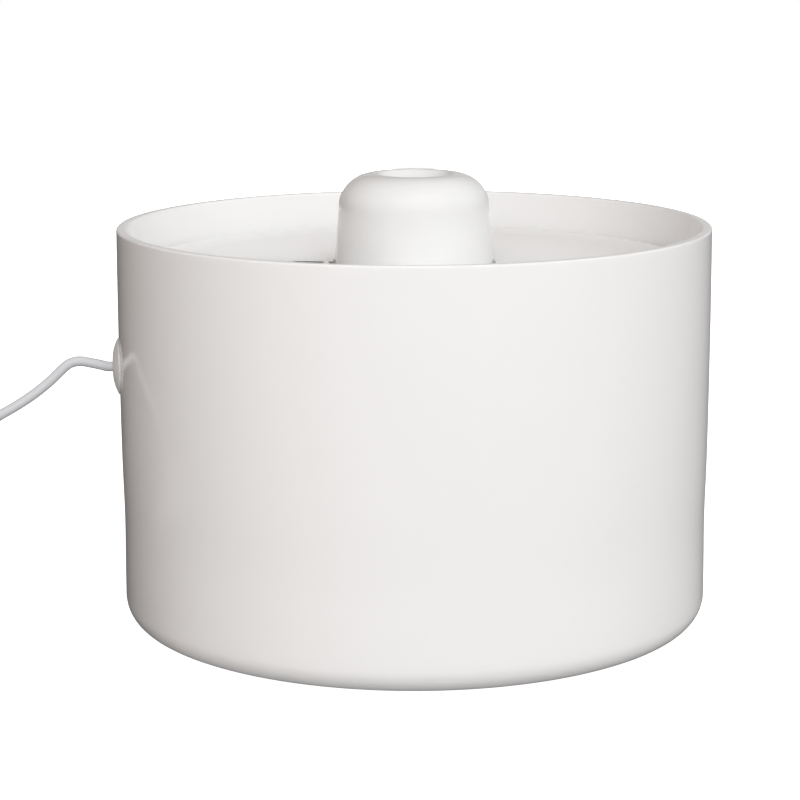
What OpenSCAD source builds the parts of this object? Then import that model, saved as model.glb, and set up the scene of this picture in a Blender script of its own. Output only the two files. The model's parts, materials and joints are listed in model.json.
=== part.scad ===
// Ceramic pet water fountain.
// A glazed drum holds the water. A submersible pump stands on its floor in a case with a
// filter cartridge, and a riser tube carries the water up into a dome. The water wells out
// of the dome's dish, runs over the drinking plate and falls back through a slot.
// Lengths are millimetres, +Z is up, and the origin is on the floor under the drum's axis.
// The lead leaves the drum towards -X, and the pump's intake faces +X.

/* [Vessel] */
// Outside diameter of the drum
vessel_d = 220; // [205:1:260]
// Height from the floor to the top of the lip
vessel_h = 147.4; // [142:0.2:180]
// Thickness of the drum's wall
wall_t = 4.6; // [3.6:0.1:6.4]
// Thickness of the drum's floor
floor_t = 6; // [4:0.1:9]
// Radius of the rounded edge between wall and base
base_corner_r = 9; // [5:0.5:13]
// Height of the recess inside the foot ring
foot_recess_h = 1.5; // [0.6:0.1:3]
// Width of the foot ring that touches the floor
foot_ring_w = 6; // [4:0.5:10]
// Radius between the inside wall and the inside floor
inner_corner_r = 8; // [4:0.5:14]
// Width of the ledge that carries the plate
ledge_w = 5; // [3.6:0.1:6.5]
// Height of the ledge's nose
ledge_h = 3; // [2.4:0.1:6]
// Radius of the ledge's rounded nose
ledge_nose_r = 1; // [0.4:0.1:1.1]

/* [Drinking plate] */
// Depth of the plate's edge below the lip
plate_drop = 13.4; // [9:0.1:16]
// Thickness of the plate at its edge
plate_t = 6.4; // [5.6:0.1:8]
// Gap between the plate's edge and the drum's wall
plate_gap = 0.8; // [0.5:0.1:1.4]
// Radius of the plate's rounded top edge
plate_edge_r = 1.8; // [1:0.1:2.6]
// Width of the level band along the plate's edge
plate_band_w = 3; // [2.6:0.1:6]
// Width of the slope between the band and the middle
plate_slope_w = 12; // [6:0.5:20]
// How far the middle of the plate lies below its edge
plate_dish = 0.9; // [0.4:0.1:1.4]
// Height of the ring under the plate that centres it inside the ledge
plate_foot_h = 3.5; // [2:0.1:6]
// Width of that ring
plate_foot_w = 4; // [3:0.1:6]

/* [Return slot] */
// Width of the slot
slot_w = 12.4; // [8:0.1:15]
// Width of the narrow slot beside the dome's foot
foot_slot_w = 1.9; // [1.4:0.1:2.4]
// Thickness of the web between the two slots
web_w = 1.7; // [1.2:0.1:3]
// Angle at which the slot starts
slot_from = 171; // [160:1:190]
// Angle at which the slot ends
slot_to = 247; // [220:1:280]
// Radius of the slot's rounded ends
slot_end_r = 11.2; // [10.6:0.1:13]

/* [Dome] */
// Diameter of the dome's foot
dome_d = 58.8; // [57:0.2:62]
// Diameter at the top of the dome's skirt, where the shoulder starts
dome_neck_d = 55.9; // [54:0.1:57]
// Height of the dome from its seat to its crest
dome_h = 34.6; // [32:0.1:42]
// Radius of the dome's shoulder
shoulder_r = 12.6; // [10:0.1:13.2]
// Thickness of the dome's wall
dome_wall = 3.8; // [3:0.1:4.6]
// Radius of the dish on top
dish_r = 14; // [12.6:0.1:15]
// Depth of the dish
dish_depth = 6; // [4:0.1:7]
// Radius of the rounded edge between the dish and the crest
dish_lip_r = 2.6; // [1:0.1:3]
// Diameter of the hole in the dish
dish_hole_d = 9; // [7:0.1:9.6]
// Depth of the recess in the plate that the dome stands in
seat_depth = 1.6; // [0.8:0.1:2.2]
// Gap between the dome's foot and the edge of that recess
seat_gap = 0.9; // [0.6:0.1:1.6]
// Height of the plate's collar inside the dome
collar_h = 5; // [3:0.1:8]
// Thickness of that collar
collar_t = 4; // [3:0.1:5]
// Gap between the collar and the dome
collar_gap = 0.6; // [0.4:0.1:1]

/* [Pump] */
// Width of the pump
pump_w = 38; // [36:0.5:44]
// Height of the rotor's axis above the pump's underside
axis_h = 20.5; // [20:0.1:24]
// Height of the pump's top above the rotor's axis
head_h = 15.5; // [15:0.1:18]
// Length of the motor housing
motor_len = 34; // [33:0.5:40]
// Length of the pump head in front of the motor
head_len = 16; // [15.5:0.1:20]
// How far the head's joint lies behind the outlet's axis
joint_back = 6; // [5.6:0.1:8]
// Radius of the pump's long corners
pump_corner_r = 4; // [2:0.5:6]
// Thickness of the housing's skin
housing_t = 1.8; // [1.4:0.1:2.4]
// Thickness of the wall that carries the seal
bulkhead_t = 3.5; // [3:0.1:4.5]
// Radius of the impeller chamber
chamber_r = 13; // [12.4:0.1:13.4]
// Thickness of the head's front wall
front_t = 2.5; // [2:0.1:3]
// Outside diameter of the outlet spigot
spigot_d = 10; // [9:0.1:11]
// Thickness of the spigot's wall
spigot_t = 1.4; // [1:0.1:2]
// Height of the spigot above the pump
spigot_h = 14; // [10:0.5:20]
// Width of the clips that hold the head to the motor
clip_w = 9; // [7:0.5:12]
// Thickness of those clips
clip_t = 1.2; // [0.9:0.1:1.5]
// How far the clips reach back over the motor
clip_reach = 7.5; // [7:0.1:10]

/* [Rotor] */
// Diameter of the magnet
magnet_d = 12.6; // [11:0.1:13]
// Length of the magnet
magnet_len = 19; // [15:0.5:20]
// Gap between the magnet and its well
well_gap = 0.9; // [0.5:0.1:1.2]
// Thickness of the well's wall
well_t = 1; // [0.8:0.1:1.2]
// Diameter of the impeller
impeller_d = 23; // [19:0.5:23.4]
// Number of impeller blades
blade_count = 6; // [4:1:8]
// Thickness of a blade
blade_t = 1.3; // [0.9:0.1:1.6]
// Radius that a blade is bent to
blade_bend_r = 9; // [7:0.5:14]
// Width of the blades along the shaft
blade_w = 8; // [5:0.1:8.6]
// Diameter of the shaft
shaft_d = 2; // [1.6:0.1:2.4]
// Running clearance on the shaft, on the radius
shaft_gap = 0.05; // [0.03:0.01:0.1]
// Diameter of the sleeve through the magnet
sleeve_d = 6.2; // [5:0.1:7]
// Outside diameter of a bush
bush_d = 4.8; // [4:0.1:5.2]
// Length of a bush
bush_len = 2; // [1.6:0.1:2.4]

/* [Motor] */
// Length of the lamination stack
stack_len = 14; // [10:0.5:15]
// Number of laminations
lamination_count = 7; // [4:1:10]
// Width of a core leg
leg_w = 4.5; // [3.5:0.1:5]
// Height of the core's yoke
yoke_h = 4; // [3:0.1:4.4]
// Thickness of the winding
coil_t = 2; // [1.4:0.1:2.1]
// Length of the winding along the yoke
coil_len = 13; // [8:0.5:15]
// Width and height of the drive board
board_size = 24; // [18:1:27]

/* [Flow dial] */
// Diameter of the dial
dial_d = 23; // [21:0.5:24]
// Thickness of the dial
dial_t = 2.1; // [1.6:0.1:3]
// Diameter of the pivot that holds the dial
pivot_d = 5.6; // [5:0.1:6]
// Number of finger notches round the dial
notch_count = 16; // [8:1:20]
// Quarter turn between fully open and shut
dial_turn = 90; // [80:1:90]

/* [Pump case] */
// Thickness of the case
case_t = 1.8; // [1.4:0.1:2.6]
// Gap between the pump's sides and the case
pump_side_gap = 2.2; // [2:0.1:4]
// Room behind the pump for the lead
back_room = 8.2; // [7.8:0.1:12]
// Gap between the pump's top and the lid
lid_room = 1; // [0.6:0.1:2]
// Radius of the case's upright corners
case_corner_r = 5; // [3:0.5:6]
// Number of slots in the intake grille
grille_count = 7; // [4:1:7]
// Width of a grille slot
grille_slot_w = 2.6; // [1.6:0.1:3.4]
// Distance between the grille's slots
grille_pitch = 5; // [4.6:0.1:5.4]
// Depth of the lid's skirt
skirt_h = 5; // [3:0.1:7]
// Thickness of the lid's skirt
skirt_t = 1.2; // [0.8:0.1:1.3]
// Sliding clearance of the lid and the cartridge
slide_gap = 0.3; // [0.2:0.05:0.4]

/* [Suction cups] */
// Diameter of a cup
cup_d = 18; // [14:0.5:20]
// Height of a cup below the case
cup_h = 8; // [6.6:0.1:11]
// Diameter of a cup's stem
cup_stem_d = 4.4; // [3.6:0.1:4.6]
// Diameter of the head above the case's floor
cup_head_d = 6.6; // [5.6:0.1:6.8]
// Distance of the cups from the case's long middle
cup_side = 13; // [9.5:0.1:15]

/* [Filter cartridge] */
// Thickness of the cartridge
cartridge_t = 12.5; // [11.8:0.1:16]
// Thickness of the frame's walls
frame_t = 1.4; // [1:0.1:2]
// Thickness of the carbon pad
carbon_t = 5.8; // [4:0.1:6]
// Windows across the cartridge
window_cols = 5; // [3:1:7]
// Windows up the cartridge
window_rows = 4; // [3:1:6]
// Width of the bars between the windows
bar_w = 1.2; // [0.8:0.1:2]
// Height of the pull tab
tab_h = 9; // [6:0.5:14]
// Width of the pull tab
tab_w = 18; // [12:0.5:26]

/* [Riser tube] */
// Thickness of the riser tube's wall
riser_t = 1.4; // [1:0.1:2]
// Gap between the riser tube and the holes that it passes through
riser_gap = 0.4; // [0.3:0.1:0.6]

/* [Lead] */
// Diameter of the lead
lead_d = 3.7; // [3:0.1:4.2]
// Height of the grommet's middle
cord_z = 96.6; // [90:0.1:104]
// Diameter of the grommet's flange
flange_d = 20.8; // [18:0.2:24]
// Height of the flange's crown
flange_crown = 1.9; // [1:0.1:2.6]
// Thickness of the flange's edge
flange_edge = 0.5; // [0.4:0.1:1]
// Diameter of the hole in the drum's wall
cord_hole_d = 10.4; // [8:0.2:13]
// Diameter of the flange inside the drum
inner_flange_d = 15; // [13.6:0.2:18]
// Diameter of the coil at the middle of its turns
coil_mid_d = 40.7; // [37:0.1:44]
// Turns side by side and on top of each other in the coil
coil_rows = 3; // [3:1:3]
// Thickness of the tie's strap
tie_t = 0.8; // [0.5:0.1:1.2]
// Width of the tie's strap
tie_w = 9; // [6:0.5:12]

/* [Plug] */
// Length of the grip
grip_l = 22; // [18:0.5:28]
// Width of the grip
grip_w = 15.6; // [14:0.2:18]
// Height of the grip
grip_h = 8; // [7:0.2:10]
// Length of the metal shell in front of the grip
shell_l = 12; // [11.5:0.1:12.5]
// Width of the metal shell
shell_w = 12; // [11.8:0.1:12.2]
// Height of the metal shell
shell_h = 4.5; // [4.4:0.1:4.7]
// Thickness of the shell's sheet
shell_t = 0.3; // [0.25:0.05:0.4]

/* [Hidden] */
$fn = 96;

// Small overlap that joins or cuts shapes cleanly
over = 0.5;
// Gap that parts bedded against each other keep
bed_gap = 0.05;

// Drum
vessel_r = vessel_d / 2;
inner_r = vessel_r - wall_t;
lip_r = wall_t / 2;
foot_out_r = vessel_r - base_corner_r;
floor_z = foot_recess_h + floor_t;
plate_top_z = vessel_h - plate_drop;
ledge_z = plate_top_z - plate_t;
ledge_r = inner_r - ledge_w;

// Plate
plate_r = inner_r - plate_gap;
plate_mid_z = plate_top_z - plate_dish;
plate_foot_gap = 0.8;
plate_foot_r = ledge_r - plate_foot_gap;
plate_under_r = 0.8;
seat_z = plate_mid_z - seat_depth;
seat_r = dome_d / 2 + seat_gap;
foot_slot_gap = 0.4;
foot_slot_r = dome_d / 2 + foot_slot_gap + foot_slot_w;
slot_in_r = foot_slot_r + web_w;
slot_end_in = 3.7;

// Dome
dome_r = dome_d / 2;
neck_r = dome_neck_d / 2;
crest_r = neck_r - shoulder_r;
crest_z = seat_z + dome_h;
neck_z = crest_z - shoulder_r;
dish_sphere_r = (dish_r * dish_r + dish_depth * dish_depth) / (2 * dish_depth);
dish_centre_z = crest_z - dish_depth + dish_sphere_r;
dish_lip_z = crest_z - dish_lip_r;
dish_lip_x = sqrt(pow(dish_sphere_r + dish_lip_r, 2) - pow(dish_centre_z - dish_lip_z, 2));
dish_lip_share = dish_sphere_r / (dish_sphere_r + dish_lip_r);
dish_floor_t = 3;
socket_top_z = crest_z - dish_depth - dish_floor_t;
socket_h = 12;
socket_t = 3;
collar_r = dome_r - dome_wall - collar_gap;

// Pump and case, upwards from the floor
case_z = floor_z + cup_h;
pump_z = case_z + case_t;
axis_z = pump_z + axis_h;
pump_h = axis_h + head_h;
pump_top_z = pump_z + pump_h;
rim_z = pump_top_z + lid_room;

// Pump, along its axis
joint_x = -joint_back;
motor_back_x = joint_x - motor_len;
head_front_x = joint_x + head_len;
chamber_front_x = head_front_x - front_t;
well_r = magnet_d / 2 + well_gap;
well_out_r = well_r + well_t;
magnet_x0 = joint_x - bulkhead_t - magnet_len;
well_room = 1.5;
well_end_x = magnet_x0 - well_room;
bush_gap = 0.02;
shaft_r = shaft_d / 2;
shaft_x0 = well_end_x - bush_len;
bush_pocket_x = chamber_front_x + front_t / 2 + 0.5;
hub_r = sleeve_d / 2 + 1;
cap_t = 1;
seal_d = 1.5;
seal_land = 1.2;
seal_r = chamber_r + seal_land;
catch_x = joint_x - 4.6;
catch_len = 2;
catch_out = 0.9;
catch_half_w = 2.2;
catch_gap = 0.2;

// Motor
stack_x0 = magnet_x0 + (magnet_len - stack_len) / 2;
core_gap = 0.3;
leg_in_y = well_out_r + core_gap;
yoke_top_z = -well_out_r - coil_t - 2 * core_gap;
pole_w = 1.6;
coil_gap = 0.15;
board_t = 1.2;
board_gap = 1.5;
board_x = shaft_x0 - cap_t - board_gap - board_t;
potting_back = 1;
boot_root = 3;

// Case and cartridge
pump_half_w = pump_w / 2;
case_in_y = pump_half_w + pump_side_gap;
case_out_y = case_in_y + case_t;
case_x0 = motor_back_x - back_room - case_t;
dial_gap = 0.3;
dial_x0 = head_front_x + dial_gap;
pivot_head_t = 1.2;
pivot_end_x = dial_x0 + dial_t + dial_gap + pivot_head_t;
stop_turn = 10;
stop_pin_r = 0.8;
pointer_out = 2;
dial_rim_w = 2.2;
dial_hub_w = 1.4;
cup_room = 0.8;
cup_front_x = head_front_x + cup_room + cup_head_d / 2;
cup_back_x = case_x0 + case_t + cup_room / 2 + cup_head_d / 2;
rail_t = 1.5;
rail_w = 3;
rail_x = cup_front_x + cup_head_d / 2 + 2 * cup_room;
cartridge_x0 = rail_x + rail_t + slide_gap;
cartridge_x1 = cartridge_x0 + cartridge_t;
case_x1 = cartridge_x1 + slide_gap + case_t;
cartridge_half_w = case_in_y - slide_gap;
cartridge_h = pump_h + lid_room;
pad_gap = 0.1;
cover_x1 = cartridge_x0 + frame_t;
carbon_x0 = cover_x1 + pad_gap;
foam_x0 = carbon_x0 + carbon_t + pad_gap;
foam_x1 = cartridge_x1 - frame_t - pad_gap;
lid_x1 = rail_x + rail_t;

// Riser tube
riser_end_gap = 0.3;
riser_in_r = spigot_d / 2 + bed_gap;
riser_r = riser_in_r + riser_t;
riser_z0 = pump_top_z + riser_end_gap;
riser_z1 = socket_top_z - riser_end_gap;
riser_hole_r = riser_r + riser_gap;

// Lead
lead_r = lead_d / 2;
lead_gap = 0.05;
exit_x = -(vessel_r + flange_edge + flange_crown);
lead_rise = 6;
lead_z = axis_z + lead_rise;
boot_len = 7;
boot_r0 = 3.4;
boot_r1 = 2.5;
boot_x0 = motor_back_x - boot_len;
ring_sides = 8;
coil_x = -290;
coil_y = coil_mid_d / 2 + lead_d;
coil_half = coil_rows * lead_d / 2;

// Route outside the drum: distance out from the flange, sideways, height
RUN = [
  [0, 0, 96.6], [1.5, 0, 96.6], [4, 0, 97.2], [8, 0, 98.2], [11, 0, 98.8], [13.5, 0, 98.8],
  [15.5, 0, 98.2], [17.5, 0, 96.9], [20, 0, 94.6], [23, 0, 91.8], [26, 0, 89.3],
  [30, 0, 86.4], [35, 0, 83.2], [40, 0, 80.4], [45, 0, 77.6], [51, 0, 74.0],
  [58, 0, 69.2], [66, 0, 62.8], [75, 0, 54.6], [84, 0, 45.4], [93, 0, 35.8],
  [102, 0, 26.4], [111, 0, 18.0], [120, 0, 11.2], [129, 0, 6.4], [138, 0, 3.5],
  [147, 0, 2.2], [156, 0, 1.9], [165, 0, 2.2], [171, 0, 2.6]
];
// Route inside the drum: x, y and height, from the pump's back to the grommet
INSIDE = [
  [-37, 0, 43.8], [-47, 0, 43.8], [-53, 0, 43.8], [-58, 0, 44.4], [-64, 0, 47.0],
  [-69, 0, 52.0], [-73, 0, 58.8], [-76, 0, 66.6], [-79, 0, 74.4], [-82.6, 0, 82.0],
  [-87, 0, 88.6], [-92, 0, 93.8], [-97, 0, 96.3], [-102, 0, 96.6]
];
// Route from the coil to the plug: distance from the coil's middle, sideways, height
TAIL = [
  [0, 0, 10.05], [6, 0, 10.0], [11, 0, 9.3], [16, 0, 7.8], [21, 0, 6.0], [26, 0, 4.7],
  [30, 0, 4.1], [34, 0, 4.0], [38, 0, 4.0], [42, 0, 4.0]
];
tongue_t = 1.8;
tongue_gap = 0.1;
tongue_set_back = 0.7;
tongue_z = -shell_h / 2 + shell_t + tongue_gap;
plug_x = coil_x + TAIL[len(TAIL) - 1][0];
plug_y = 2 * coil_y;
plug_z = grip_h / 2;
neck_l = 7;
neck_r0 = lead_r + 0.9;
neck_r1 = lead_r + 1.7;

// ---------------------------------------------------------------- shapes used in many places

// Rectangle with round corners, centred
module rounded_rect(w, h, r) {
  square([w - 2 * r, h], center = true);
  square([w, h - 2 * r], center = true);
  for (x = [-1, 1], y = [-1, 1])
    translate([x * (w / 2 - r), y * (h / 2 - r)]) circle(r);
}

// Upright slot with round ends, centred
module round_slot(w, h) {
  square([w, h - w], center = true);
  for (y = [-1, 1]) translate([0, y * (h - w) / 2]) circle(w / 2);
}

// Rectangle between two corners
module rect(x0, y0, x1, y1) {
  translate([x0, y0]) square([x1 - x0, y1 - y0]);
}

// Block between two corners
module block(p, q) {
  translate(p) cube(q - p);
}

// What has to be cut off a square corner to give it the radius r; the centre is the origin
module corner_waste(r) {
  difference() {
    square(r + over);
    circle(r);
  }
}

// Flat shape across the pump's axis, carried along X; its own X and Y become Y and Z
module along_x(x0, x1) {
  translate([x0, 0, axis_z]) rotate([90, 0, 90]) linear_extrude(x1 - x0) children();
}

// Round part on the pump's axis, from x0 to x1
module axle(x0, x1, r) {
  translate([x0, 0, axis_z]) rotate([0, 90, 0]) cylinder(h = x1 - x0, r = r);
}

// Upright cylinder on the drum's axis
module cylinder_up(z0, z1, r) {
  translate([0, 0, z0]) cylinder(h = z1 - z0, r = r);
}

// Flat sector between two angles that reaches past the radius r
module sector(r, from, to) {
  steps = ceil((to - from) / 30);
  reach = r / cos((to - from) / steps / 2);
  polygon(concat([[0, 0]], [
    for (i = [0:steps]) reach * [cos(from + i * (to - from) / steps), sin(from + i * (to - from) / steps)]
  ]));
}

// Arc between two radii and two angles
module arc_band(r0, r1, from, to) {
  intersection() {
    difference() {
      circle(r1);
      circle(r0);
    }
    sector(r1 + over, from, to);
  }
}

// ------------------------------------------------------------------------------ the lead

// Unit vector
function unit(v) = v / norm(v);

// Direction of a route at one of its points
function heading(p, i) = unit(p[min(i + 1, len(p) - 1)] - p[max(i - 1, 0)]);

// Ring of points round a route's point; side is a direction across the route
function ring(c, dir, side, r) = let (b = unit(cross(dir, side)), n = cross(b, dir))
  [for (k = [0:ring_sides - 1]) let (a = 360 * k / ring_sides) c + r * (cos(a) * n + sin(a) * b)];

// Tube swept along a route
module tube(p, side, r) {
  last = len(p) - 1;
  points = [for (i = [0:last]) each ring(p[i], heading(p, i), side, r)];
  skin = [
    for (i = [0:last - 1], k = [0:ring_sides - 1]) let (m = (k + 1) % ring_sides)
      each [
        [i * ring_sides + k, (i + 1) * ring_sides + k, (i + 1) * ring_sides + m],
        [i * ring_sides + k, (i + 1) * ring_sides + m, i * ring_sides + m]
      ]
  ];
  start = [[for (k = [0:ring_sides - 1]) k]];
  finish = [[for (k = [ring_sides - 1:-1:0]) last * ring_sides + k]];
  polyhedron(points, concat(skin, start, finish));
}

module lead_run() {
  color("gainsboro")
    tube([for (p = RUN) [exit_x - p[0], p[1], p[2]]], [0, 1, 0], lead_r);
}

module pump_lead() {
  through = [[-vessel_r + wall_t / 2, 0, cord_z], [exit_x, 0, cord_z]];
  color("gainsboro") tube(concat(INSIDE, through), [0, 1, 0], lead_r);
}

module lead_tail() {
  color("gainsboro")
    tube([for (p = TAIL) [coil_x + p[0], plug_y + p[1], p[2]]], [0, 0, 1], lead_r);
}

// Outer shape of the wound lead
module lead_coil() {
  color("gainsboro")
    translate([coil_x, coil_y, tie_t + coil_half])
    rotate_extrude()
    translate([coil_mid_d / 2, 0])
    rounded_rect(2 * coil_half, 2 * coil_half, lead_r);
}

// Strap round the coil's section, at the coil's far side
module coil_tie() {
  side = 2 * coil_half + 2 * bed_gap;
  turn = tie_w / (coil_mid_d / 2) * 180 / PI;
  color("whitesmoke")
    translate([coil_x, coil_y, tie_t + coil_half])
    rotate(180 - turn / 2)
    rotate_extrude(angle = turn)
    translate([coil_mid_d / 2, 0])
    difference() {
      rounded_rect(side + 2 * tie_t, side + 2 * tie_t - 2 * bed_gap, lead_r + tie_t);
      rounded_rect(side, side, lead_r + bed_gap);
    }
}

// ------------------------------------------------------------------------------ the plug

module plug_grip() {
  grip_corner_r = 2.6;
  color("gainsboro")
    difference() {
      union() {
        translate([plug_x, plug_y, plug_z])
          rotate([90, 0, 90])
          linear_extrude(grip_l)
          rounded_rect(grip_w, grip_h, grip_corner_r);
        translate([plug_x - neck_l, plug_y, plug_z])
          rotate([0, 90, 0])
          cylinder(h = neck_l + over, r1 = neck_r0, r2 = neck_r1);
      }
      translate([plug_x - neck_l - over, plug_y, plug_z])
        rotate([0, 90, 0])
        cylinder(h = neck_l + over, r = lead_r + lead_gap);
    }
}

// Folded sheet shell with its two latch windows
module plug_shell() {
  window = 2.3;
  color("silver")
    translate([plug_x + grip_l, plug_y, plug_z])
    difference() {
      rotate([90, 0, 90])
        linear_extrude(shell_l)
        difference() {
          rounded_rect(shell_w, shell_h, 2 * shell_t);
          rounded_rect(shell_w - 2 * shell_t, shell_h - 2 * shell_t, shell_t);
        }
      for (y = [-1, 1])
        translate([shell_l / 2 - window / 2, y * shell_w / 4 - window / 2, 0])
          cube([window, window, shell_h]);
    }
}

// Insulating tongue that carries the contacts
module plug_tongue() {
  half = shell_w / 2 - shell_t - tongue_gap;
  color("white")
    translate([plug_x + grip_l, plug_y, plug_z])
    block([0, -half, tongue_z], [shell_l - tongue_set_back, half, tongue_z + tongue_t]);
}

// Four flat contacts on the tongue; the outer two are longer, so that they meet first
module plug_contacts() {
  contact_t = 0.2;
  contact_w = 1.1;
  tip_gap = 0.6;
  inner_set_back = 1;
  top_z = tongue_z + tongue_t;
  front_x = shell_l - tongue_set_back - tip_gap;
  color("gold")
    translate([plug_x + grip_l, plug_y, plug_z])
    for (place = [[-3.5, 0], [-1, inner_set_back], [1, inner_set_back], [3.5, 0]])
      block(
        [0, place[0] - contact_w / 2, top_z],
        [front_x - place[1], place[0] + contact_w / 2, top_z + contact_t]
      );
}

// ------------------------------------------------------------------------------ the drum

// Section of the drum, from its axis outwards
module vessel_section() {
  difference() {
    union() {
      rect(0, base_corner_r, vessel_r, vessel_h - lip_r);
      rect(0, 0, foot_out_r, base_corner_r + over);
      translate([foot_out_r, base_corner_r]) circle(base_corner_r);
      translate([vessel_r - lip_r, vessel_h - lip_r]) circle(lip_r);
    }
    rect(-over, floor_z + inner_corner_r, inner_r, vessel_h + over);
    rect(-over, floor_z, inner_r - inner_corner_r, vessel_h);
    translate([inner_r - inner_corner_r, floor_z + inner_corner_r]) circle(inner_corner_r);
    rect(-over, -over, foot_out_r - foot_ring_w, foot_recess_h);
  }
  difference() {
    polygon([
      [inner_r + lip_r, ledge_z],
      [ledge_r, ledge_z],
      [ledge_r, ledge_z - ledge_h],
      [inner_r + lip_r, ledge_z - ledge_h - ledge_w - lip_r]
    ]);
    translate([ledge_r + ledge_nose_r, ledge_z - ledge_nose_r])
      mirror([1, 0])
      corner_waste(ledge_nose_r);
  }
}

module vessel() {
  color("ivory")
    difference() {
      rotate_extrude() vessel_section();
      translate([-vessel_r - over, 0, cord_z])
        rotate([0, 90, 0])
        cylinder(h = wall_t + 2 * over, d = cord_hole_d);
    }
}

// Silicone grommet: outer flange with a low crown, neck in the wall, inner flange
module cord_grommet() {
  flange_r = flange_d / 2;
  crown_r = (flange_r * flange_r + flange_crown * flange_crown) / (2 * flange_crown);
  inner_flange_r = inner_flange_d / 2;
  inner_x = sqrt(pow(inner_r - bed_gap, 2) - pow(inner_flange_r, 2));
  inner_flange_t = 2.5;
  color("lightgray")
    difference() {
      rotate([0, -90, 0])
        translate([cord_z, 0, 0])
        rotate_extrude()
        difference() {
          union() {
            rect(0, vessel_r - over, flange_r, vessel_r + flange_edge);
            intersection() {
              translate([0, vessel_r + flange_edge + flange_crown - crown_r]) circle(crown_r);
              rect(0, vessel_r, flange_r, vessel_r + flange_edge + flange_crown + over);
            }
            rect(0, inner_x - over, cord_hole_d / 2 - bed_gap, vessel_r);
            rect(0, inner_x - inner_flange_t, inner_flange_r, inner_x);
          }
          rect(-over, 0, lead_r + lead_gap, vessel_r + flange_edge + flange_crown + over);
        }
      translate([0, 0, cord_z])
        difference() {
          cylinder(h = flange_d + 2 * over, r = vessel_r + bed_gap, center = true);
          translate([-vessel_r, 0, 0])
            rotate([0, 90, 0])
            cylinder(h = vessel_r, d = cord_hole_d - 2 * bed_gap, center = true);
          cylinder(h = flange_d + 4 * over, r = inner_x, center = true);
        }
    }
}

// ------------------------------------------------------------------------- the plate and dome

// Section of the plate, from its axis outwards
module plate_section() {
  band_r = plate_r - plate_band_w;
  difference() {
    polygon([
      [riser_hole_r, ledge_z],
      [plate_r, ledge_z],
      [plate_r, plate_top_z],
      [band_r, plate_top_z],
      [band_r - plate_slope_w, plate_mid_z],
      [riser_hole_r, plate_mid_z]
    ]);
    translate([plate_r - plate_edge_r, plate_top_z - plate_edge_r]) corner_waste(plate_edge_r);
    translate([plate_r - plate_under_r, ledge_z + plate_under_r])
      mirror([0, 1])
      corner_waste(plate_under_r);
    rect(0, seat_z, seat_r, plate_top_z + over);
  }
  rect(collar_r - collar_t, seat_z - over, collar_r, seat_z + collar_h);
  rect(plate_foot_r - plate_foot_w, ledge_z - plate_foot_h, plate_foot_r, ledge_z + over);
}

// Wide slot beyond the web, with rounded ends, that the water falls back through
module return_slot() {
  end_r = slot_in_r + slot_end_in;
  end_turn = 2 * asin(slot_end_r / 2 / end_r);
  intersection() {
    difference() {
      circle(slot_in_r + slot_w);
      circle(slot_in_r);
    }
    union() {
      sector(slot_in_r + slot_w + over, slot_from + end_turn, slot_to - end_turn);
      for (a = [slot_from + end_turn, slot_to - end_turn])
        rotate(a) translate([end_r, 0]) circle(slot_end_r);
    }
  }
}

module drinking_plate() {
  color("white")
    difference() {
      rotate_extrude() plate_section();
      translate([0, 0, ledge_z - over])
        linear_extrude(plate_t + 2 * over) {
          return_slot();
          arc_band(dome_r + foot_slot_gap, foot_slot_r, slot_from, slot_to);
        }
    }
}

// Section of the dome, from its axis outwards
module dome_section() {
  lip_start = [
    dish_lip_x * dish_lip_share,
    dish_centre_z + (dish_lip_z - dish_centre_z) * dish_lip_share
  ];
  difference() {
    union() {
      polygon([[0, seat_z], [dome_r, seat_z], [neck_r, neck_z], [0, neck_z]]);
      rect(0, neck_z, crest_r, crest_z);
      translate([crest_r, neck_z]) circle(shoulder_r);
    }
    translate([0, dish_centre_z]) circle(dish_sphere_r);
    difference() {
      polygon([
        lip_start,
        [dish_lip_x, dish_lip_z],
        [dish_lip_x, crest_z + over],
        [lip_start[0], crest_z + over]
      ]);
      translate([dish_lip_x, dish_lip_z]) circle(dish_lip_r);
    }
    difference() {
      union() {
        polygon([
          [-over, seat_z - over],
          [dome_r - dome_wall, seat_z - over],
          [neck_r - dome_wall, neck_z],
          [-over, neck_z]
        ]);
        rect(-over, neck_z - over, crest_r, neck_z + shoulder_r - dome_wall);
        translate([crest_r, neck_z]) circle(shoulder_r - dome_wall);
      }
      translate([0, dish_centre_z]) circle(dish_sphere_r + dish_floor_t);
      rect(-over, socket_top_z - socket_h, riser_hole_r + socket_t, crest_z);
    }
    rect(-over, socket_top_z - socket_h - over, riser_hole_r, socket_top_z);
    rect(-over, socket_top_z - over, dish_hole_d / 2, crest_z + over);
  }
}

module dome() {
  color("white") rotate_extrude() dome_section();
}

// Tube from the pump's spigot into the socket under the dome's dish
module riser_tube() {
  color("aliceblue")
    translate([0, 0, riser_z0])
    difference() {
      cylinder(h = riser_z1 - riser_z0, r = riser_r);
      translate([0, 0, -over]) cylinder(h = riser_z1 - riser_z0 + 2 * over, r = riser_in_r);
    }
}

// ------------------------------------------------------------------------------ the case

// Outline of the case between two X positions, shrunk by a gap
module case_outline(x0, x1, gap) {
  translate([(x0 + x1) / 2, 0])
    rounded_rect(x1 - x0 - 2 * gap, 2 * (case_out_y - gap), case_corner_r - gap);
}

// Places of the four suction cups
module at_cups() {
  for (x = [cup_back_x, cup_front_x], y = [-1, 1])
    translate([x, y * cup_side, 0]) children();
}

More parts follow.
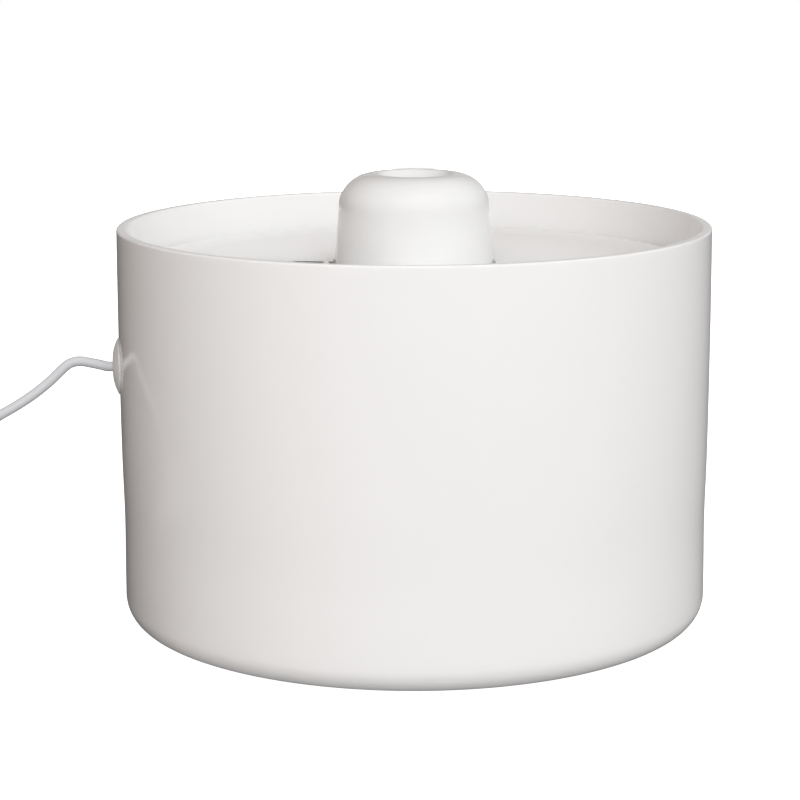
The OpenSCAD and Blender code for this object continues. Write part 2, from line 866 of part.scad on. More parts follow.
module pump_case() {
  grille_margin = 6;
  color("whitesmoke")
    difference() {
      union() {
        difference() {
          translate([0, 0, case_z])
            linear_extrude(rim_z - case_z)
            case_outline(case_x0, case_x1, 0);
          translate([0, 0, pump_z])
            linear_extrude(rim_z - case_z)
            case_outline(case_x0, case_x1, case_t);
        }
        for (s = [-1, 1])
          translate([rail_x, s * (case_in_y + over / 2 - rail_w / 2) - (rail_w + over) / 2, pump_z - over])
            cube([rail_t, rail_w + over, rim_z - pump_z + over]);
      }
      at_cups() translate([0, 0, case_z - over])
        cylinder(h = case_t + 2 * over, d = cup_stem_d + 2 * bed_gap);
      along_x(case_x1 - case_t - over, case_x1 + over)
        for (i = [0:grille_count - 1])
          translate([(i - (grille_count - 1) / 2) * grille_pitch, (head_h - axis_h) / 2])
            round_slot(grille_slot_w, pump_h - 2 * grille_margin);
      lead_notch();
    }
}

// Slot in the case's back wall that the lead is laid into from above
module lead_notch() {
  half = lead_r + slide_gap;
  along_x(case_x0 - over, case_x0 + case_t + over) {
    translate([0, lead_rise]) circle(half);
    rect(-half, lead_rise, half, rim_z - axis_z + over);
  }
}

// Lid over the pump's bay, with a skirt inside the case and a tongue in the lead's notch
module case_lid() {
  skirt_gap = case_t + slide_gap;
  color("whitesmoke")
    difference() {
      union() {
        translate([0, 0, rim_z])
          linear_extrude(case_t)
          intersection() {
            case_outline(case_x0, case_x1, 0);
            rect(case_x0, -case_out_y, lid_x1, case_out_y);
          }
        translate([0, 0, rim_z - skirt_h])
          linear_extrude(skirt_h + over)
          intersection() {
            difference() {
              case_outline(case_x0, case_x1, skirt_gap);
              case_outline(case_x0, case_x1, skirt_gap + skirt_t);
            }
            rect(case_x0, -case_out_y, rail_x - slide_gap, case_out_y);
          }
        block(
          [case_x0, -lead_r, lead_z + lead_r + slide_gap],
          [case_x0 + case_t + 2 * slide_gap, lead_r, rim_z + over]
        );
      }
      translate([0, 0, rim_z - over]) cylinder(h = case_t + 2 * over, r = riser_hole_r);
    }
}

// Suction cup: bell with a hollow underside, stem through the case and a head above it
module suction_cup() {
  cup_r = cup_d / 2;
  rim_w = 1;
  hollow_r = cup_r - rim_w;
  hollow_h = 2.2;
  hollow_sphere_r = (hollow_r * hollow_r + hollow_h * hollow_h) / (2 * hollow_h);
  bell_h = 4.4;
  brim_t = 0.6;
  collar_r = cup_stem_d / 2 + 1.2;
  head_t = 1.6;
  rotate_extrude()
    difference() {
      union() {
        polygon([[0, 0], [cup_r, 0], [cup_r, brim_t], [collar_r, bell_h], [0, bell_h]]);
        rect(0, bell_h - over, collar_r, cup_h - bed_gap);
        rect(0, cup_h - over, cup_stem_d / 2, cup_h + case_t + bed_gap + over);
        rect(0, cup_h + case_t + bed_gap, cup_head_d / 2, cup_h + case_t + head_t);
      }
      translate([0, hollow_h - hollow_sphere_r]) circle(hollow_sphere_r);
    }
}

module suction_cups() {
  color("gainsboro") at_cups() translate([0, 0, floor_z]) suction_cup();
}

// ------------------------------------------------------------------------------ the cartridge

// Windows of the cartridge, cut through between two X positions
module windows(x0, x1) {
  margin = 2;
  edge = frame_t + margin;
  field_w = 2 * (cartridge_half_w - edge);
  field_h = cartridge_h - 2 * edge;
  win_w = (field_w - (window_cols - 1) * bar_w) / window_cols;
  win_h = (field_h - (window_rows - 1) * bar_w) / window_rows;
  for (c = [0:window_cols - 1], r = [0:window_rows - 1])
    translate([x0, -field_w / 2 + c * (win_w + bar_w), pump_z + edge + r * (win_h + bar_w)])
      cube([x1 - x0, win_w, win_h]);
}

// Open tray with a barred wall towards the grille and a ribbed pull tab
module filter_frame() {
  tab_t = 2.6;
  tab_corner_r = 2.5;
  rib_h = 0.8;
  rib_out = 0.6;
  rib_count = 3;
  rib_half = tab_w / 2 - 3;
  tab_x = (cartridge_x0 + cartridge_x1) / 2;
  top_z = pump_z + cartridge_h;
  color("lightsteelblue") {
    difference() {
      intersection() {
        block([cartridge_x0, -cartridge_half_w, pump_z], [cartridge_x1, cartridge_half_w, top_z]);
        translate([0, 0, pump_z])
          linear_extrude(cartridge_h)
          case_outline(case_x0, case_x1, case_t + slide_gap);
      }
      block(
        [cartridge_x0 - over, -cartridge_half_w + frame_t, pump_z + frame_t],
        [cartridge_x1 - frame_t, cartridge_half_w - frame_t, top_z - frame_t]
      );
      windows(cartridge_x1 - frame_t - over, cartridge_x1 + over);
    }
    translate([tab_x - tab_t / 2, 0, top_z - over])
      rotate([90, 0, 90])
      linear_extrude(tab_t)
      translate([0, (tab_h + over) / 2])
      rounded_rect(tab_w, tab_h + over, tab_corner_r);
    for (i = [1:rib_count])
      let (z = top_z + i * tab_h / (rib_count + 1))
      block(
        [tab_x - tab_t / 2 - rib_out, -rib_half, z - rib_h / 2],
        [tab_x + tab_t / 2 + rib_out, rib_half, z + rib_h / 2]
      );
  }
}

// Barred cover pressed into the tray's open side
module filter_cover() {
  color("lightsteelblue")
    difference() {
      tray_fill(cartridge_x0, cover_x1);
      windows(cartridge_x0 - over, cover_x1 + over);
    }
}

// Block that fills the tray between two X positions
module tray_fill(x0, x1) {
  block(
    [x0, -cartridge_half_w + frame_t + pad_gap, pump_z + frame_t + pad_gap],
    [x1, cartridge_half_w - frame_t - pad_gap, pump_z + cartridge_h - frame_t - pad_gap]
  );
}

module carbon_pad() {
  color("dimgray") tray_fill(carbon_x0, foam_x0 - pad_gap);
}

module foam_pad() {
  color("lightskyblue") tray_fill(foam_x0, foam_x1);
}

// ------------------------------------------------------------------------------ the pump

// Section of the pump's box across its axis, shrunk by a gap
module pump_section(gap) {
  translate([0, (head_h - axis_h) / 2])
    rounded_rect(pump_w - 2 * gap, pump_h - 2 * gap, pump_corner_r - gap);
}

// Ramp on each side of the motor that a clip of the head snaps behind
module catches() {
  for (s = [0, 1])
    mirror([0, s, 0])
      translate([0, 0, axis_z - catch_half_w])
      linear_extrude(2 * catch_half_w)
      polygon([
        [catch_x, pump_w / 2 - over],
        [catch_x + catch_len, pump_w / 2 - over],
        [catch_x + catch_len, pump_w / 2],
        [catch_x, pump_w / 2 + catch_out]
      ]);
}

// Clip on each side of the head, with a window for the ramp
module clips() {
  reach_x = joint_x - clip_reach;
  in_y = pump_w / 2 + bed_gap;
  window_half = catch_half_w + catch_gap;
  for (s = [0, 1])
    mirror([0, s, 0])
      translate([0, 0, axis_z])
      difference() {
        union() {
          block([reach_x, in_y, -clip_w / 2], [joint_x + clip_w / 2, in_y + clip_t, clip_w / 2]);
          block([joint_x, in_y - over, -clip_w / 2], [joint_x + clip_w / 2, in_y + over, clip_w / 2]);
        }
        block(
          [catch_x - catch_gap, in_y - over, -window_half],
          [catch_x + catch_len + catch_gap, in_y + clip_t + over, window_half]
        );
      }
}

// Motor housing: box open at the back, bulkhead with the seal's groove, well for the rotor
module pump_housing() {
  color("white") {
    catches();
    difference() {
      union() {
        difference() {
          along_x(motor_back_x, joint_x) pump_section(0);
          along_x(motor_back_x - over, joint_x - bulkhead_t) pump_section(housing_t);
        }
        axle(shaft_x0 - cap_t, joint_x - bulkhead_t + over, well_out_r);
      }
      axle(well_end_x, joint_x + over, well_r);
      axle(shaft_x0, well_end_x + over, bush_d / 2 + bush_gap);
      along_x(joint_x - seal_d / 2 - bed_gap, joint_x + over)
        difference() {
          circle(seal_r + seal_d / 2 + bed_gap);
          circle(seal_r - seal_d / 2 - bed_gap);
        }
    }
  }
}

// Round seal between the housing and the head
module cover_seal() {
  color("dimgray")
    translate([joint_x, 0, axis_z])
    rotate([0, 90, 0])
    rotate_extrude()
    translate([seal_r, 0])
    circle(seal_d / 2);
}

// Shape of the two intake windows, the same in the head and in the dial
module intake_windows() {
  bar_turn = 4;
  half = dial_turn / 2 - bar_turn;
  intersection() {
    difference() {
      circle(dial_d / 2 - dial_rim_w);
      circle(pivot_d / 2 + dial_hub_w);
    }
    for (a = [0, 180]) rotate(a) sector(dial_d, -half, half);
  }
}

// Pump head: impeller chamber, outlet spigot, intake windows, pivot and stops of the dial
module volute_cover() {
  spigot_r = spigot_d / 2;
  stop_r = dial_d / 2 + pointer_out - stop_pin_r + 0.1;
  barb_out = 0.6;
  barb_in = 0.4;
  color("white")
    difference() {
      union() {
        along_x(joint_x, head_front_x) pump_section(0);
        clips();
        cylinder_up(pump_top_z - over, pump_top_z + spigot_h, spigot_r);
        axle(head_front_x - over, pivot_end_x - pivot_head_t + bed_gap, pivot_d / 2);
        translate([pivot_end_x - pivot_head_t, 0, axis_z])
          rotate([0, 90, 0])
          cylinder(h = pivot_head_t, r1 = pivot_d / 2 + barb_out, r2 = pivot_d / 2 - barb_in);
        along_x(head_front_x - over, dial_x0 + dial_t)
          for (a = [90 + stop_turn, 90 - dial_turn - stop_turn])
            rotate(a) translate([stop_r, 0]) circle(stop_pin_r);
      }
      axle(joint_x - over, chamber_front_x, chamber_r);
      cylinder_up(axis_z, pump_top_z + spigot_h + over, spigot_r - spigot_t);
      axle(chamber_front_x - over, bush_pocket_x, bush_d / 2 + bush_gap);
      along_x(chamber_front_x - over, head_front_x + over) intake_windows();
      along_x(joint_x - over, joint_x + seal_d / 2 + bed_gap)
        difference() {
          circle(seal_r + seal_d / 2 + bed_gap);
          circle(seal_r - seal_d / 2 - bed_gap);
        }
    }
}

// Dial with the same windows as the head; its pointer stands up when the intake is open
module flow_dial() {
  dial_r = dial_d / 2;
  notch_r = 0.9;
  notch_out = 0.2;
  pointer_half = 1.2;
  pivot_gap = 0.1;
  color("lightsteelblue")
    along_x(dial_x0, dial_x0 + dial_t)
    difference() {
      union() {
        circle(dial_r);
        rotate(90) rect(dial_r - dial_rim_w, -pointer_half, dial_r + pointer_out, pointer_half);
      }
      circle(pivot_d / 2 + pivot_gap);
      intake_windows();
      for (i = [0:notch_count - 1])
        if (abs(i - notch_count / 4) > 1)
          rotate(360 * i / notch_count) translate([dial_r + notch_out, 0]) circle(notch_r);
    }
}

module rotor_shaft() {
  color("silver") axle(shaft_x0 + bed_gap, bush_pocket_x - 2 * bed_gap, shaft_r);
}

// Bush at each end of the shaft
module shaft_bushes() {
  color("black")
    for (x = [shaft_x0, bush_pocket_x - bush_len])
      difference() {
        axle(x + bed_gap, x + bush_len - bed_gap, bush_d / 2);
        axle(x - over, x + bush_len + over, shaft_r + bush_gap);
      }
}

module rotor_magnet() {
  color("darkslategray")
    difference() {
      axle(magnet_x0, magnet_x0 + magnet_len, magnet_d / 2);
      axle(magnet_x0 - over, magnet_x0 + magnet_len + over, sleeve_d / 2 + bed_gap);
    }
}

// One bent blade of the impeller, as a flat shape
module blade() {
  intersection() {
    translate([hub_r, -blade_bend_r])
      difference() {
        circle(blade_bend_r + blade_t / 2);
        circle(blade_bend_r - blade_t / 2);
      }
    rect(0, -impeller_d / 2, impeller_d / 2, blade_t);
    circle(impeller_d / 2);
  }
}

// Impeller: sleeve through the magnet, hub, back disc and bent blades
module impeller() {
  disc_t = 1;
  disc_x = joint_x + 0.8;
  nose_x = disc_x + disc_t + blade_w;
  sleeve_end_x = magnet_x0 - 0.6;
  color("lightskyblue")
    difference() {
      union() {
        axle(sleeve_end_x, disc_x + disc_t, sleeve_d / 2);
        axle(disc_x, disc_x + disc_t, impeller_d / 2);
        axle(disc_x, nose_x, hub_r);
        along_x(disc_x + disc_t / 2, nose_x)
          for (i = [0:blade_count - 1]) rotate(360 * i / blade_count) blade();
      }
      axle(sleeve_end_x - over, nose_x + over, shaft_r + shaft_gap);
    }
}

// ------------------------------------------------------------------------------ the motor

// U core across the axis: two legs with pole faces round the well, and the yoke below
module core_section(grow) {
  out_y = leg_in_y + leg_w;
  difference() {
    rect(-out_y - grow, yoke_top_z - yoke_h - grow, out_y + grow, well_out_r + grow);
    circle(leg_in_y - grow);
    rect(-leg_in_y + pole_w + grow, yoke_top_z + grow, leg_in_y - pole_w - grow, well_out_r + grow + over);
  }
}

module stator_core() {
  pitch = stack_len / lamination_count;
  color("slategray")
    for (i = [0:lamination_count - 1])
      along_x(stack_x0 + i * pitch, stack_x0 + (i + 1) * pitch - bed_gap) core_section(0);
}

// Winding round the yoke
module stator_coil() {
  color("peru")
    translate([0, 0, axis_z])
    difference() {
      winding_block(0);
      block(
        [stack_x0 - coil_gap, -coil_len, yoke_top_z - yoke_h - coil_gap],
        [stack_x0 + stack_len + coil_gap, coil_len, yoke_top_z + coil_gap]
      );
    }
}

// Outer block of the winding, grown by a gap
module winding_block(grow) {
  block(
    [stack_x0 - coil_t - grow, -coil_len / 2 - grow, yoke_top_z - yoke_h - coil_t - grow],
    [stack_x0 + stack_len + coil_t + grow, coil_len / 2 + grow, yoke_top_z + coil_t + grow]
  );
}

// Drive board with its chip and capacitor
module driver_board() {
  color("darkgreen") board_shape(0);
}

// The board and what stands on it, grown by a gap
module board_shape(grow) {
  half = board_size / 2 + grow;
  mid_z = axis_z + (head_h - axis_h) / 2;
  g = [grow, grow, grow];
  chip = [1.2, 6, 5];
  capacitor = [1.6, 3, 5];
  chip_at = [board_x - chip[0], -chip[1] / 2, mid_z - chip[2]];
  capacitor_at = [board_x - capacitor[0], chip[1] - 1, mid_z - 2];
  block([board_x - grow, -half, mid_z - half], [board_x + board_t + grow, half, mid_z + half]);
  block(chip_at - g, chip_at + chip + [over, grow, grow]);
  block(capacitor_at - g, capacitor_at + capacitor + [over, grow, grow]);
}

// Resin that fills the housing round the motor
module motor_potting() {
  gap = bed_gap;
  color("black")
    difference() {
      along_x(motor_back_x + potting_back, joint_x - bulkhead_t - gap) pump_section(housing_t + gap);
      axle(shaft_x0 - cap_t - gap, joint_x, well_out_r + gap);
      along_x(stack_x0 - gap, stack_x0 + stack_len + gap) core_section(gap);
      translate([0, 0, axis_z]) winding_block(gap);
      board_shape(gap);
      translate([0, 0, lead_rise])
        axle(motor_back_x - over, motor_back_x + potting_back + boot_root, boot_r0 + gap);
    }
}

// Tapered strain relief where the lead enters the motor
module lead_boot() {
  color("gainsboro")
    translate([boot_x0, 0, lead_z])
    rotate([0, 90, 0])
    difference() {
      union() {
        cylinder(h = boot_len, r1 = boot_r1, r2 = boot_r0);
        translate([0, 0, boot_len - bed_gap]) cylinder(h = potting_back + boot_root, r = boot_r0);
      }
      translate([0, 0, -over])
        cylinder(h = boot_len + potting_back + boot_root + 2 * over, r = lead_r + lead_gap);
    }
}

vessel();
drinking_plate();
dome();
cord_grommet();
pump_lead();
lead_boot();
lead_run();
lead_coil();
lead_tail();
coil_tie();
plug_grip();
plug_shell();
plug_tongue();
plug_contacts();
pump_case();
case_lid();
suction_cups();
filter_frame();
filter_cover();
carbon_pad();
foam_pad();
pump_housing();
stator_core();
stator_coil();
driver_board();
motor_potting();
volute_cover();
cover_seal();
rotor_shaft();
shaft_bushes();
rotor_magnet();
impeller();
flow_dial();
riser_tube();
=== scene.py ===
"""Ceramic pet water fountain: its visible pieces, their finishes, the stage and the camera.

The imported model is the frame. Lengths inside the classes are millimetres, as in the part's
source, and every mesh is made in metres. The drum stands on z = 0 with its axis at the origin;
the lead leaves it towards -X.
"""

import json
import logging
import math
from collections.abc import Sequence
from dataclasses import dataclass
from enum import Enum

import bmesh
import bpy
import numpy as np
from mathutils import Matrix, Vector


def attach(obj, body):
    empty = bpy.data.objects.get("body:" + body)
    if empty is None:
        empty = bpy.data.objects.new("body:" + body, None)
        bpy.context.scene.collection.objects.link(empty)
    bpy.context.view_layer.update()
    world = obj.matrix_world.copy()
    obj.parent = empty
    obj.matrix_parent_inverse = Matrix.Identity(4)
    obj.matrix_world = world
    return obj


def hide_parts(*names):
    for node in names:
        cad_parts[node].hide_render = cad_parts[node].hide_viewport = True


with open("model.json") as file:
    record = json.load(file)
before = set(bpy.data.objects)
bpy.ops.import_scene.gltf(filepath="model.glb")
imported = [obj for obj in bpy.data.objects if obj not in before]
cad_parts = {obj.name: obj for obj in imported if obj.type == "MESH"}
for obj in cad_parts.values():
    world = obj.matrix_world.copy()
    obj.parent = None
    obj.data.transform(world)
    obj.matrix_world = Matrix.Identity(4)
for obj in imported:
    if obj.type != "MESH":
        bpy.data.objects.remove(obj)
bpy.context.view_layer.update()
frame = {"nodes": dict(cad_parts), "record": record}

LOG = logging.getLogger("fountain")
MM = 0.001
SHARP = 38.0  # degrees; a sharper edge isn't smoothed
MOULDED = 50.0  # the same, for moulded pieces
MERGE = 2e-6  # metres; nearer points of a mesh become one
REPEAT = 1e-6  # millimetres; a nearer point of an outline is left out

Array = np.ndarray
Object = bpy.types.Object
Material = bpy.types.Material
Tree = bpy.types.NodeTree
Node = bpy.types.Node
Socket = bpy.types.NodeSocket
Pair = tuple[float, float]
Triple = tuple[float, float, float]
Route = tuple[Pair, ...]
Links = dict[object, object]


# -- lines and grids


def unit(vectors: Array) -> Array:
    """The same directions with a length of 1."""
    return vectors / np.linalg.norm(vectors, axis=-1, keepdims=True)


def travelled(points: Array) -> Array:
    """Distance of each point from the first, along the line through the points."""
    return np.concatenate([[0.0], np.cumsum(np.linalg.norm(np.diff(points, axis=0), axis=1))])


def at_stops(points: Array, along: Array, stops: Array) -> Array:
    """Points of a line at given stops, straight between its own points, which lie at `along`."""
    return np.stack([np.interp(stops, along, column) for column in points.T], axis=1)


def angles(count: int) -> Array:
    """Angles in radians, spread evenly once round from 0."""
    return np.linspace(0, 2 * np.pi, count, endpoint=False)


def turned(r: Array | float, a: Array, z: Array | float) -> Array:
    """Points (r cos a, r sin a, z) round the Z axis."""
    return np.stack(np.broadcast_arrays(r * np.cos(a), r * np.sin(a), z), axis=-1)


def in_plane(pairs: Route) -> Array:
    """Points (x, 0, z) of a route that stays in the plane y = 0."""
    return np.insert(np.array(pairs, float), 1, 0.0, axis=1)


def box(half_w: float, half_h: float, radius: float) -> list[Triple]:
    """Corners of a rectangle round the origin, all with the same radius."""
    return [(u * half_w, v * half_h, radius) for u, v in ((-1, -1), (1, -1), (1, 1), (-1, 1))]


def rounded(corners: Sequence[Triple], closed: bool, steps: int, spacing: float = math.inf) -> Array:
    """Turns corners into a flat outline with arcs.

    An arc of radius r touches both sides of its corner: it starts r / tan(half the inside
    angle) before the corner, and its points are spread evenly round its centre.

    Args:
        corners: (u, v, radius) of each corner, in millimetres; radius 0 keeps it sharp.
        closed: whether the last corner joins the first.
        steps: points on each arc.
        spacing: largest distance between points, also on straight stretches.

    Returns:
        The outline's points, one row each.
    """
    places = np.array([corner[:2] for corner in corners], float)
    runs = []
    for i, (_, _, radius) in enumerate(corners):
        if radius <= 0 or (not closed and i in (0, len(corners) - 1)):
            runs.append(places[i][None])
            continue
        back = unit(places[i - 1] - places[i])
        ahead = unit(places[(i + 1) % len(corners)] - places[i])
        half = 0.5 * math.acos(float(np.clip(back @ ahead, -1, 1)))
        centre = places[i] + unit(back + ahead) * radius / math.sin(half)
        first = places[i] + back * radius / math.tan(half) - centre
        last = places[i] + ahead * radius / math.tan(half) - centre
        turn = math.pi - 2 * half
        t = np.linspace(0, 1, steps)[:, None]
        runs.append(centre + (np.sin((1 - t) * turn) * first + np.sin(t * turn) * last) / math.sin(turn))
    line = np.vstack([*runs, runs[0][:1]] if closed else runs)
    along = travelled(line)
    keep = np.concatenate([[True], np.diff(along) > REPEAT])
    line, along = line[keep], along[keep]
    counts = np.maximum(np.ceil(np.diff(along) / spacing).astype(int), 1)
    stops = [np.linspace(a, b, n, endpoint=False) for a, b, n in zip(along, along[1:], counts)]
    return at_stops(line, along, np.concatenate(stops if closed else [*stops, along[-1:]]))


def smooth(points: Array, spacing: float) -> Array:
    """Natural cubic spline through a route's points.

    Its parameter is the chord length. The second derivatives solve the usual equations, in
    which each inner point's slope is the same from both sides, and both ends are straight.

    Args:
        points: the route, one row each, in millimetres.
        spacing: distance between the new points.

    Returns:
        Points of the curve.
    """
    gaps = np.linalg.norm(np.diff(points, axis=0), axis=1)
    stops = travelled(points)
    count = len(points)
    system = np.eye(count)
    inner = np.arange(1, count - 1)
    system[inner, inner - 1] = gaps[:-1] / 6
    system[inner, inner] = (gaps[:-1] + gaps[1:]) / 3
    system[inner, inner + 1] = gaps[1:] / 6
    right = np.zeros_like(points)
    right[1:-1] = np.diff(np.diff(points, axis=0) / gaps[:, None], axis=0)
    bend = np.linalg.solve(system, right)
    s = np.linspace(0, stops[-1], int(stops[-1] / spacing) + 1)
    i = np.clip(np.searchsorted(stops, s, side="right") - 1, 0, count - 2)
    h = gaps[i][:, None]
    a = (stops[i + 1] - s)[:, None] / h
    b = 1 - a
    curve = ((a**3 - a) * bend[i] + (b**3 - b) * bend[i + 1]) * h**2 / 6
    return a * points[i] + b * points[i + 1] + curve


def capped(grid: Array) -> Array:
    """Closes a grid's open ends: adds the middle of its first and last row as rows of one place."""
    ends = grid[[0, -1]].mean(axis=1, keepdims=True) + 0 * grid[[0, -1]]
    return np.concatenate([ends[:1], grid, ends[1:]])


# -- meshes


def shade(mesh: bpy.types.Mesh, sharp: float) -> None:
    """Smooths a mesh's faces, apart from edges sharper than an angle in degrees."""
    mesh.shade_smooth()
    mesh.set_sharp_from_angle(angle=math.radians(sharp))


def surface(name: str, grid: Array, wrap_u: bool, wrap_v: bool, sharp: float = SHARP) -> Object:
    """Makes a piece from a grid of points, with a quad between each four neighbours.

    Points that coincide, as at a pole, are merged, and the faces are turned outwards. The UV
    map holds the place in the grid, 0 to 1.

    Args:
        name: the piece's name.
        grid: points in millimetres, shape (u, v, 3).
        wrap_u: whether the last row joins the first.
        wrap_v: whether the last column joins the first.
        sharp: edges sharper than this angle, in degrees, stay sharp.

    Returns:
        The new object.
    """
    rows, columns = grid.shape[:2]
    u = np.arange(rows if wrap_u else rows - 1)
    v = np.arange(columns if wrap_v else columns - 1)
    uu, vv = (a.ravel() for a in np.meshgrid(u, v, indexing="ij"))
    here, beyond = uu * columns, (uu + 1) % rows * columns
    after = (vv + 1) % columns
    quads = np.stack([here + vv, beyond + vv, beyond + after, here + after], 1)
    mesh = bpy.data.meshes.new(name)
    mesh.vertices.add(rows * columns)
    mesh.vertices.foreach_set("co", (grid.reshape(-1, 3) * MM).ravel().astype(np.float32))
    mesh.loops.add(quads.size)
    mesh.loops.foreach_set("vertex_index", quads.ravel().astype(np.int32))
    mesh.polygons.add(len(quads))
    mesh.polygons.foreach_set("loop_start", np.arange(0, quads.size, 4, dtype=np.int32))
    mesh.update(calc_edges=True)
    across = np.stack([uu, uu + 1, uu + 1, uu], 1) / len(u)
    along = np.stack([vv, vv, vv + 1, vv + 1], 1) / len(v)
    layer = mesh.uv_layers.new(name="grid")
    layer.data.foreach_set("uv", np.stack([across, along], 2).ravel().astype(np.float32))
    work = bmesh.new()
    work.from_mesh(mesh)
    bmesh.ops.remove_doubles(work, verts=work.verts, dist=MERGE)
    bmesh.ops.recalc_face_normals(work, faces=work.faces)
    work.to_mesh(mesh)
    work.free()
    shade(mesh, sharp)
    piece = bpy.data.objects.new(name, mesh)
    bpy.context.scene.collection.objects.link(piece)
    return piece


def lathe(name: str, outline: Array, closed: bool, turns: int) -> Object:
    """Turns an outline of (radius, height) round the Z axis; an open one starts and ends on it."""
    grid = turned(outline[None, :, 0], angles(turns)[:, None], outline[None, :, 1])
    return surface(name, grid, True, closed)


def tube(name: str, path: Array, radius: float, sides: int = 18) -> Object:
    """Round tube carried along a path, with flat closed ends.

    Each ring stands across the path on two axes: z x ahead, which is level, and ahead x level.

    Args:
        name: the piece's name.
        path: points in millimetres, nowhere vertical.
        radius: the tube's radius.
        sides: points round a ring.

    Returns:
        The new object.
    """
    ahead = unit(np.gradient(path, axis=0))
    level = unit(np.cross([0.0, 0.0, 1.0], ahead))
    up = np.cross(ahead, level)
    a = angles(sides)[None, :, None]
    ring = path[:, None] + radius * (np.cos(a) * level[:, None] + np.sin(a) * up[:, None])
    return surface(name, capped(ring), False, True, MOULDED)


def cut(piece: Object, cutter: Object) -> None:
    """Takes a cutter's volume out of a piece and deletes the cutter.

    Args:
        piece: the piece, which keeps the result as its mesh.
        cutter: the closed surface of the volume.
    """
    step = piece.modifiers.new("cut", "BOOLEAN")
    step.operation = "DIFFERENCE"
    step.solver = "EXACT"
    step.object = cutter
    graph = bpy.context.evaluated_depsgraph_get()
    mesh = bpy.data.meshes.new_from_object(piece.evaluated_get(graph))
    piece.modifiers.remove(step)
    piece.data = mesh
    bpy.data.objects.remove(cutter)
    shade(mesh, SHARP)


# -- shader nodes


def join(tree: Tree, node: Node, links: Links) -> None:
    """Fills a node's inputs.

    Args:
        tree: the node tree.
        node: the node.
        links: each input's name or number, and the socket or value for it.
    """
    for key, value in links.items():
        if isinstance(value, Socket):
            tree.links.new(value, node.inputs[key])
        else:
            node.inputs[key].default_value = value


def add_node(tree: Tree, kind: str, links: Links | None = None, **values: object) -> Node:
    """Adds a shader node.

    Args:
        tree: the node tree.
        kind: its type without the word ShaderNode.
        links: what goes into its inputs; see join.
        values: its own settings, such as operation.

    Returns:
        The new node.
    """
    node = tree.nodes.new("ShaderNode" + kind)
    for key, value in values.items():
        setattr(node, key, value)
    join(tree, node, links or {})
    return node


def maths(tree: Tree, operation: str, *terms: object) -> Socket:
    """Result of a Math node on sockets or numbers."""
    return add_node(tree, "Math", dict(enumerate(terms)), operation=operation).outputs[0]


def mixed(tree: Tree, share: Socket, first: object, second: object) -> Socket:
    """Mix of two colours, from the first at a share of 0 to the second at 1."""
    return add_node(tree, "Mix", {"Factor": share, 6: first, 7: second}, data_type="RGBA").outputs[2]


def mapped(tree: Tree, value: Socket, start: float, stop: float, low: float = 0, high: float = 1) -> Socket:
    """Value carried from the range start to stop into low to high, and held at its ends."""
    limits = {"Value": value, "From Min": start, "From Max": stop, "To Min": low, "To Max": high}
    return add_node(tree, "MapRange", limits).outputs[0]


def bumped(tree: Tree, height: Socket, strength: float, depth: float) -> Socket:
    """Normal of a surface whose relief has a height from 0 to 1 and a depth in millimetres."""
    return add_node(tree, "Bump", {"Strength": strength, "Distance": depth * MM, "Height": height}).outputs[0]


def blank(name: str) -> tuple[Material, Tree, Node]:
    """Makes a material.

    Args:
        name: its name.

    Returns:
        The material, its node tree and its shader.
    """
    material = bpy.data.materials.new(name)
    material.use_nodes = True
    return material, material.node_tree, material.node_tree.nodes["Principled BSDF"]


def emptied(mesh: bpy.types.Mesh, name: str) -> Tree:
    """Gives a mesh of the stage its own material.

    Args:
        mesh: the mesh.
        name: the material's name.

    Returns:
        Its node tree, emptied.
    """
    material, tree, _ = blank(name)
    tree.nodes.clear()
    mesh.materials.append(material)
    return tree


def node_group(name: str, inputs: dict[str, str], outputs: Sequence[str]) -> tuple[Tree, Node, Node]:
    """Starts a group of nodes that several finishes share.

    Args:
        name: the group's name.
        inputs: each input's name and its kind, Float or Vector.
        outputs: the outputs' names; they are plain numbers.

    Returns:
        The group, and the nodes that hold its inputs and its outputs.
    """
    tree = bpy.data.node_groups.new(name, "ShaderNodeTree")
    for label, kind in inputs.items():
        tree.interface.new_socket(label, in_out="INPUT", socket_type="NodeSocket" + kind)
    for label in outputs:
        tree.interface.new_socket(label, in_out="OUTPUT", socket_type="NodeSocketFloat")
    return tree, tree.nodes.new("NodeGroupInput"), tree.nodes.new("NodeGroupOutput")


def moulded_grain() -> Tree:
    """Fine grain of a moulded or cast surface.

    Returns:
        A node group that gives a height for bump and a slow drift from 0 to 1.
    """
    inputs = {"Vector": "Vector", "Grain scale": "Float", "Drift scale": "Float"}
    tree, start, end = node_group("moulded_grain", inputs, ("Height", "Drift"))
    place, grain_scale, drift_scale = (start.outputs[label] for label in inputs)
    fine = {"Vector": place, "Scale": grain_scale, "Detail": 3.0, "Roughness": 0.6}
    slow = {"Vector": place, "Scale": drift_scale, "Detail": 2.0, "Roughness": 0.5}
    height, drift = (add_node(tree, "TexNoise", noise).outputs[0] for noise in (fine, slow))
    join(tree, end, {"Height": height, "Drift": drift})
    return tree


def bands() -> Tree:
    """Round-topped bands along one direction, for windings, laminations, weaves and brushing.

    At the place p, along the direction d, their height is |sin(pi (p . d) / pitch)|.

    Returns:
        A node group that gives the height.
    """
    inputs = {"Vector": "Vector", "Direction": "Vector", "Pitch": "Float"}
    tree, start, end = node_group("bands", inputs, ("Height",))
    place, direction, pitch = (start.outputs[label] for label in inputs)
    along = add_node(tree, "VectorMath", {0: place, 1: direction}, operation="DOT_PRODUCT").outputs["Value"]
    phase = maths(tree, "MULTIPLY", maths(tree, "DIVIDE", along, pitch), math.pi)
    join(tree, end, {"Height": maths(tree, "ABSOLUTE", maths(tree, "SINE", phase))})
    return tree


GRAIN = moulded_grain()
BANDS = bands()


# -- finishes


